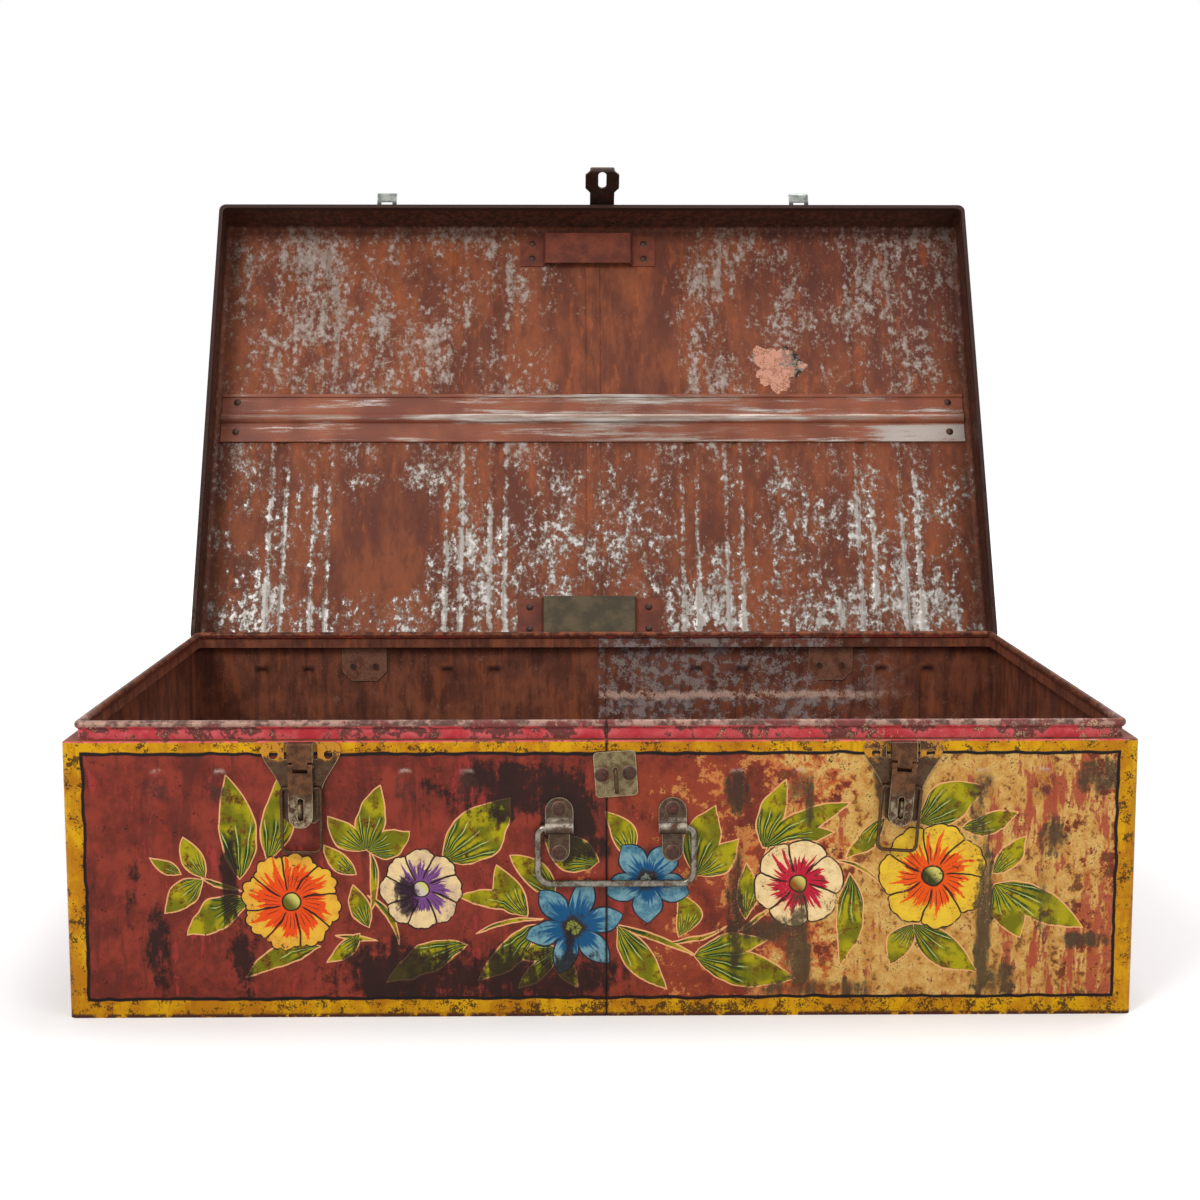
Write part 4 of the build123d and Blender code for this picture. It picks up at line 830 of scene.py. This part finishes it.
def strap_steel(graph):
    """Galvanised strip, partly covered with the lid's primer, with extra zinc along its bead and across
    its middle as painted highlight.
    """
    point, _ = closed_place(graph)
    x, y = graph.split(point)[:2]
    reach = PIN[1] - y
    rub = graph.noise(point, 0.14, 5.0, 0.7, stretch=(14.0, 1.0, 1.0))
    patch = graph.noise(point, 0.02, 2.0)
    fine = graph.noise(point, 0.8, 3.0, 0.7)
    # extra zinc across the middle and along the bead is painted highlight; at the right end it is bare
    # zinc
    middle = abs(x - 40.0).fall(20.0, 140.0) * 0.07
    end = x.rise(215.0, 245.0) * reach.fall(STRAP_REACH - 8.0, STRAP_REACH - 4.0) * 0.16
    bead = abs(reach - STRAP_REACH).fall(1.5, 3.5) * 0.1
    bare = (rub * 0.65 + fine * 0.15 + patch * 0.2 + middle + end + bead).rise(0.51, 0.61)
    color = graph.mix(patch.rise(0.35, 0.65), *STRAP_BROWN)
    color = graph.mix(fine.rise(0.55, 0.65) * 0.5, color, STRAP_SPECK)
    zinc = graph.mix(rub.rise(0.5, 0.7) + end * 4.0, *STRAP_ZINC)
    color = graph.mix(bare * 0.85, color, zinc)
    return color, 0.46 - bare * 0.14, bare * 0.4, fine * 0.3 - bare * 0.5, 0.15


def bridge_paint(graph):
    """The two bridges: brown towards the lid's front, greenish grey at its hinges."""
    point, _ = closed_place(graph)
    _, y, z = graph.split(point)
    blotch = graph.noise(point, 0.08, 4.0, 0.65)
    fine = graph.noise(point, 0.9, 3.0, 0.7)
    brown = graph.mix(blotch.rise(0.35, 0.65), *BRIDGE_BROWN)
    grey = graph.mix(blotch.rise(0.35, 0.65), *BRIDGE_GREY)
    raised = z.fall(BRIDGE_FACE - 0.5, BRIDGE_FACE + 0.5) * y.rise(100.0, 110.0)
    return graph.mix(raised, brown, grey), 0.55, 0.0, fine * 0.3 + blotch, 0.15


# ---------------------------------------------------------------- bare and rusty metal
LEVER_RUST = paint(66, 38, 20), paint(98, 62, 36)
# rubbed metal on the lower levers, partly painted glints
LEVER_RUBBED_AND_GLINT = paint(150, 136, 110)
LEVER_RUBBED_HEIGHTS = (108.0, 130.0)
EAR_YELLOW = paint(190, 128, 24)
# painted highlight where the brackets fold round the handle
FOLD_SILVER_HIGHLIGHT = paint(184, 172, 156)
FOLD_HEIGHTS = (111.5, 116.0)
# painted shade under the keepers' hooks
HOOK_SHADE = paint(30, 32, 30)
METAL_RUST = paint(104, 52, 24)
METAL_DIRT = paint(44, 28, 20)
METAL_GLOSS = 0.4
BEVEL = 0.9                           # reach of the wear and of the painted highlights along sharp edges


def latch_marks(graph, point, color, fine, blotch):
    """Levers rubbed bright over their lower part, partly as painted glints, and border paint left on the
    ears.
    """
    x, y, z = graph.split(point)
    side = abs(abs(x) - LATCH_X)
    on_lever = side.fall(LEVER_HALF_WIDTH - 0.4, LEVER_HALF_WIDTH + 0.4)
    lever = on_lever * y.fall(LEVER_BACK - 0.5, LEVER_BACK + 0.5)
    rust = graph.mix(blotch.rise(0.4, 0.6), *LEVER_RUST)
    foot, head = LEVER_RUBBED_HEIGHTS
    color = graph.mix(lever * z.rise(head, head + 3.0), color, rust)
    # rubbed metal on the lower lever, partly painted glints
    rubbed = lever * z.between(foot, head, 2.0) * (blotch * 0.7 + fine * 0.3).rise(0.46, 0.6)
    color = graph.mix(rubbed * 0.8, color, LEVER_RUBBED_AND_GLINT)
    ear = side.rise(EAR_INSIDE - 0.5, EAR_INSIDE + 0.5) * (z + (blotch - 0.5) * 16.0).rise(150.0, 153.0)
    left = (blotch * 0.6 + fine * 0.4 + x.fall(-1.0, 1.0) * 0.07).rise(0.5, 0.54)
    return graph.mix(ear * left * 0.85, color, EAR_YELLOW)


def fold_highlight_marks(graph, point, color, fine, blotch):
    """Brackets with a painted silver highlight where they fold round the handle."""
    z = graph.dot(point, AXES[2])
    # painted highlight across the fold
    fold = z.between(*FOLD_HEIGHTS, 1.5) * (blotch * 0.6 + fine * 0.4).rise(0.42, 0.58)
    return graph.mix(fold * 0.9, color, FOLD_SILVER_HIGHLIGHT)


def hook_shade_marks(graph, point, color, fine, blotch):
    """Hooks of the keepers, with painted shade darkening them towards the skirt they stand on."""
    stand_off = LID_FRONT - graph.dot(point, AXES[1])
    return graph.mix(stand_off.fall(5.0, 8.5) * 0.8, color, HOOK_SHADE)


def metal(name, dark, middle, light, rust, roughness, shine, marks=None, place=Graph.place):
    """Old hardware: rubbed bright on its edges, partly as painted highlights, with dark and rusty
    patches.
    """

    def build(graph):
        point, _ = place(graph)
        blotch = graph.noise(point, 0.16, 5.0, 0.7)
        fine = graph.noise(point, 1.2, 3.0, 0.7)
        rounded = graph.node("Bevel")
        rounded.socket.node.inputs["Radius"].default_value = BEVEL * MM
        geometry = graph.tree.nodes.new("ShaderNodeNewGeometry")
        true_normal = Value(graph, geometry.outputs["True Normal"])
        # edges lighter by rubbed wear and by painted highlights
        edge = graph.dot(rounded, true_normal).fall(0.84, 0.98)
        color = graph.mix(blotch.rise(0.38, 0.6), paint(*dark), paint(*middle))
        rusty = (blotch * 0.6 + fine * 0.4).fall(0.40, 0.46)
        color = graph.mix(rusty * rust, color, METAL_RUST)
        dirty = (blotch * 0.5 + fine * 0.5).rise(0.53, 0.6)
        color = graph.mix(dirty * rust, color, METAL_DIRT)
        color = graph.mix(edge * fine.rise(0.3, 0.5) * 0.85, color, paint(*light))
        if marks is not None:
            color = marks(graph, point, color, fine, blotch)
        worn = (fine - 0.5) * 0.3 + roughness
        return color, worn, shine, fine * 0.6 + blotch, 0.15

    return surface(name, build, METAL_GLOSS)


# dark, middle and light colour, then how rusty, rough and metallic, and marks of its own
METALS = {
    "rim_steel": ((62, 46, 40), (104, 84, 72), (156, 140, 128), 0.7, 0.5, 0.4),
    "rivet_steel": ((48, 30, 24), (76, 50, 38), (132, 106, 88), 0.8, 0.5, 0.4),
    "hinge_steel": ((106, 66, 50), (140, 94, 72), (196, 162, 138), 0.6, 0.5, 0.3),
    "latch_steel": ((48, 32, 20), (84, 60, 38), (186, 166, 130), 0.7, 0.36, 0.6, latch_marks),
    "keeper_zinc": (
        (104, 112, 106), (156, 160, 152), (214, 216, 206), 0.1, 0.3, 0.6, hook_shade_marks, closed_place
    ),
    "staple_brass": ((82, 68, 42), (132, 118, 82), (200, 186, 144), 0.6, 0.4, 0.5),
    "hasp_steel": ((40, 30, 26), (66, 50, 42), (140, 124, 108), 0.6, 0.4, 0.5),
    "handle_steel": ((84, 76, 64), (142, 136, 124), (214, 210, 198), 0.4, 0.26, 0.8),
    "bracket_steel": ((46, 34, 24), (82, 66, 48), (186, 170, 146), 0.7, 0.34, 0.6, fold_highlight_marks),
}
# how each paint is built, and its gloss
PAINTS = {
    "body_paint": (body_paint, 0.14),
    "floor_paint": (floor_paint, 0.2),
    "lid_paint": (lid_paint, 0.16),
    "strap_steel": (strap_steel, 0.3),
    "bridge_paint": (bridge_paint, 0.2),
}
materials = {name: surface(name, *made) for name, made in PAINTS.items()}
materials.update({name: metal(name, *made) for name, made in METALS.items()})

for part in frame["record"]["subparts"]:
    node = frame["nodes"][part["node"]]
    node.data.materials.clear()
    node.data.materials.append(materials[part["material_slot"]])

# ---------------------------------------------------------------- torn paper inside the lid
PAPER_MIDDLE = (151.0, 250.0)         # along x and away from the hinges
PAPER_HALF = 25.0                     # half its width and height before it was torn
PAPER_LIFT = 0.25                     # in front of the panel
PAPER_THICK = 0.15
PAPER_POINTS = 64
PAPER_GLOSS = 0.2
SALMON = paint(186, 128, 104), paint(206, 154, 132)
PAPER_EDGE = paint(150, 96, 76)
PAPER_GREY = paint(124, 114, 104)
PAPER_DARK = paint(54, 42, 36)


def paper_radius(turn):
    """Ragged outline of what is left of a paper, as a share of its half size."""
    lobes = 0.12 * sin(3 * turn + 0.6) + 0.10 * sin(5 * turn + 2.0)
    rags = 0.06 * sin(11 * turn + 1.0) + 0.04 * sin(23 * turn)
    return 0.78 + lobes + rags


def opened(point):
    """A point of the closed lid, in metres, where the open lid has it."""
    about = Matrix.Translation(Vector(PIN) * MM)
    turn = Matrix.Rotation(radians(-OPEN_ANGLE), 4, "X")
    return about @ turn @ about.inverted() @ (Vector(point) * MM)


def paper_fibre(graph):
    """Salmon paper, its top layer torn away to grey in places."""
    point, _ = closed_place(graph)
    x, y = graph.split(point)[:2]
    torn = graph.noise(point, 0.07, 6.0, 0.72)
    fine = graph.noise(point, 1.0, 3.0, 0.7)
    across = (x - PAPER_MIDDLE[0]) / PAPER_HALF
    up = (PIN[1] - PAPER_MIDDLE[1] - y) / PAPER_HALF
    away = across * 0.16 + up * 0.1
    color = graph.mix(fine.rise(0.35, 0.65), *SALMON)
    color = graph.mix(abs(torn - 0.5).fall(0.012, 0.02), color, PAPER_EDGE)
    color = graph.mix((torn + away).rise(0.60, 0.62), color, PAPER_GREY)
    color = graph.mix((torn + away).rise(0.655, 0.67), color, PAPER_DARK)
    return color, 0.85, 0.0, torn * 2.0 + fine * 0.3, 0.3


def torn_paper():
    """A thin sheet with a ragged edge, stuck to the lid's panel."""
    base = PANEL_TOP - PAPER_LIFT
    turns = [2 * pi * step / PAPER_POINTS for step in range(PAPER_POINTS)]
    outline = [
        (
            PAPER_MIDDLE[0] + PAPER_HALF * paper_radius(turn) * cos(turn),
            PIN[1] - PAPER_MIDDLE[1] - PAPER_HALF * paper_radius(turn) * sin(turn),
        )
        for turn in turns
    ]
    corners = [opened((x, y, base + PAPER_THICK * layer)) for layer in (0, 1) for x, y in outline]
    lower = list(range(PAPER_POINTS))
    upper = [index + PAPER_POINTS for index in lower]
    sides = [(lower[i - 1], lower[i], upper[i], upper[i - 1]) for i in range(PAPER_POINTS)]
    mesh = bpy.data.meshes.new("torn_paper")
    mesh.from_pydata(corners, [], [lower, upper[::-1], *sides])
    mesh.validate()
    mesh.materials.append(surface("torn_paper", paper_fibre, PAPER_GLOSS))
    sheet = bpy.data.objects.new("torn_paper", mesh)
    bpy.context.scene.collection.objects.link(sheet)
    return sheet


paper = torn_paper()
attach(paper, "lid")

# ---------------------------------------------------------------- studio, in metres
FLOOR_HALF = 20.0
FLOOR_PALE = 0.95
FLOOR_GLOW = (0.1, 0.5)               # emission of the floor near the trunk and far from it
FLOOR_FADE = (450.0, 1600.0)          # millimetres from the trunk's middle
WHITE = (1, 1, 1, 1)
WORLD_LIGHT = 0.56
# lamps: name, place, what they point at, diameter, power in watts
LAMPS = [
    ("key", (-1.4, -2.0, 2.2), (0.0, 0.0, 0.2), 1.2, 42.0),
    ("fill", (1.8, -1.8, 1.4), (0.0, 0.0, 0.2), 1.6, 10.0),
    ("top", (0.5, 0.5, 2.6), (0.0, 0.1, 0.2), 1.4, 28.0),
]

scene = bpy.context.scene
scene.view_settings.view_transform = "Standard"


def seen_by(graph, *rays):
    """1 for the kinds of ray that are named, 0 for all others."""
    path = graph.tree.nodes.new("ShaderNodeLightPath")
    first, *others = [Value(graph, path.outputs[f"Is {ray} Ray"]) for ray in rays]
    for other in others:
        first = first.most(other)
    return first


def add_floor():
    """A pale floor that fades into the white background but keeps the trunk's shadow."""
    mesh = bpy.data.meshes.new("studio_floor")
    corners = [(x * FLOOR_HALF, y * FLOOR_HALF, 0) for x, y in ((-1, -1), (1, -1), (1, 1), (-1, 1))]
    mesh.from_pydata(corners, [], [(0, 1, 2, 3)])
    floor = bpy.data.objects.new("studio_floor", mesh)
    scene.collection.objects.link(floor)
    material = bpy.data.materials.new("studio_floor")
    material.use_nodes = True
    graph = Graph(material.node_tree)
    shader = material.node_tree.nodes["Principled BSDF"]
    shader.inputs["Base Color"].default_value = (FLOOR_PALE, FLOOR_PALE, FLOOR_PALE, 1)
    shader.inputs["Roughness"].default_value = 0.9
    shader.inputs["Specular IOR Level"].default_value = 0.0
    shader.inputs["Emission Color"].default_value = WHITE
    seen = seen_by(graph, "Camera", "Glossy")
    far = graph.vector("LENGTH", graph.place()[0], output=1).rise(*FLOOR_FADE)
    near_glow, far_glow = FLOOR_GLOW
    glow = far * (far_glow - near_glow) + near_glow
    graph.put(shader.inputs["Emission Strength"], seen * glow)
    mesh.materials.append(material)


def add_world():
    """White to the camera and in reflections, plain soft light on everything else."""
    world = bpy.data.worlds.new("studio")
    scene.world = world
    world.use_nodes = True
    graph = Graph(world.node_tree)
    seen = seen_by(graph, "Camera", "Glossy", "Transmission")
    background = world.node_tree.nodes["Background"]
    background.inputs["Color"].default_value = WHITE
    graph.put(background.inputs["Strength"], WORLD_LIGHT + seen * (1.0 - WORLD_LIGHT))


def add_lamp(name, place, target, size, power):
    light = bpy.data.lights.new(name, "AREA")
    light.shape = "DISK"
    light.size = size
    light.energy = power
    lamp = bpy.data.objects.new(name, light)
    scene.collection.objects.link(lamp)
    way = Vector(target) - Vector(place)
    lamp.matrix_world = Matrix.Translation(place) @ way.to_track_quat("-Z", "Y").to_matrix().to_4x4()


def add_camera():
    camera = bpy.data.cameras.new("camera")
    camera.sensor_width = SENSOR
    camera.lens = FOCAL_PIXELS * SENSOR / IMAGE_PIXELS
    viewer = bpy.data.objects.new("camera", camera)
    scene.collection.objects.link(viewer)
    viewer.location = [value * MM for value in CAMERA_PLACE]
    viewer.rotation_euler = (radians(90.0 - CAMERA_PITCH), 0.0, radians(-CAMERA_YAW))
    scene.camera = viewer


add_floor()
add_world()
for lamp in LAMPS:
    add_lamp(*lamp)
add_camera()
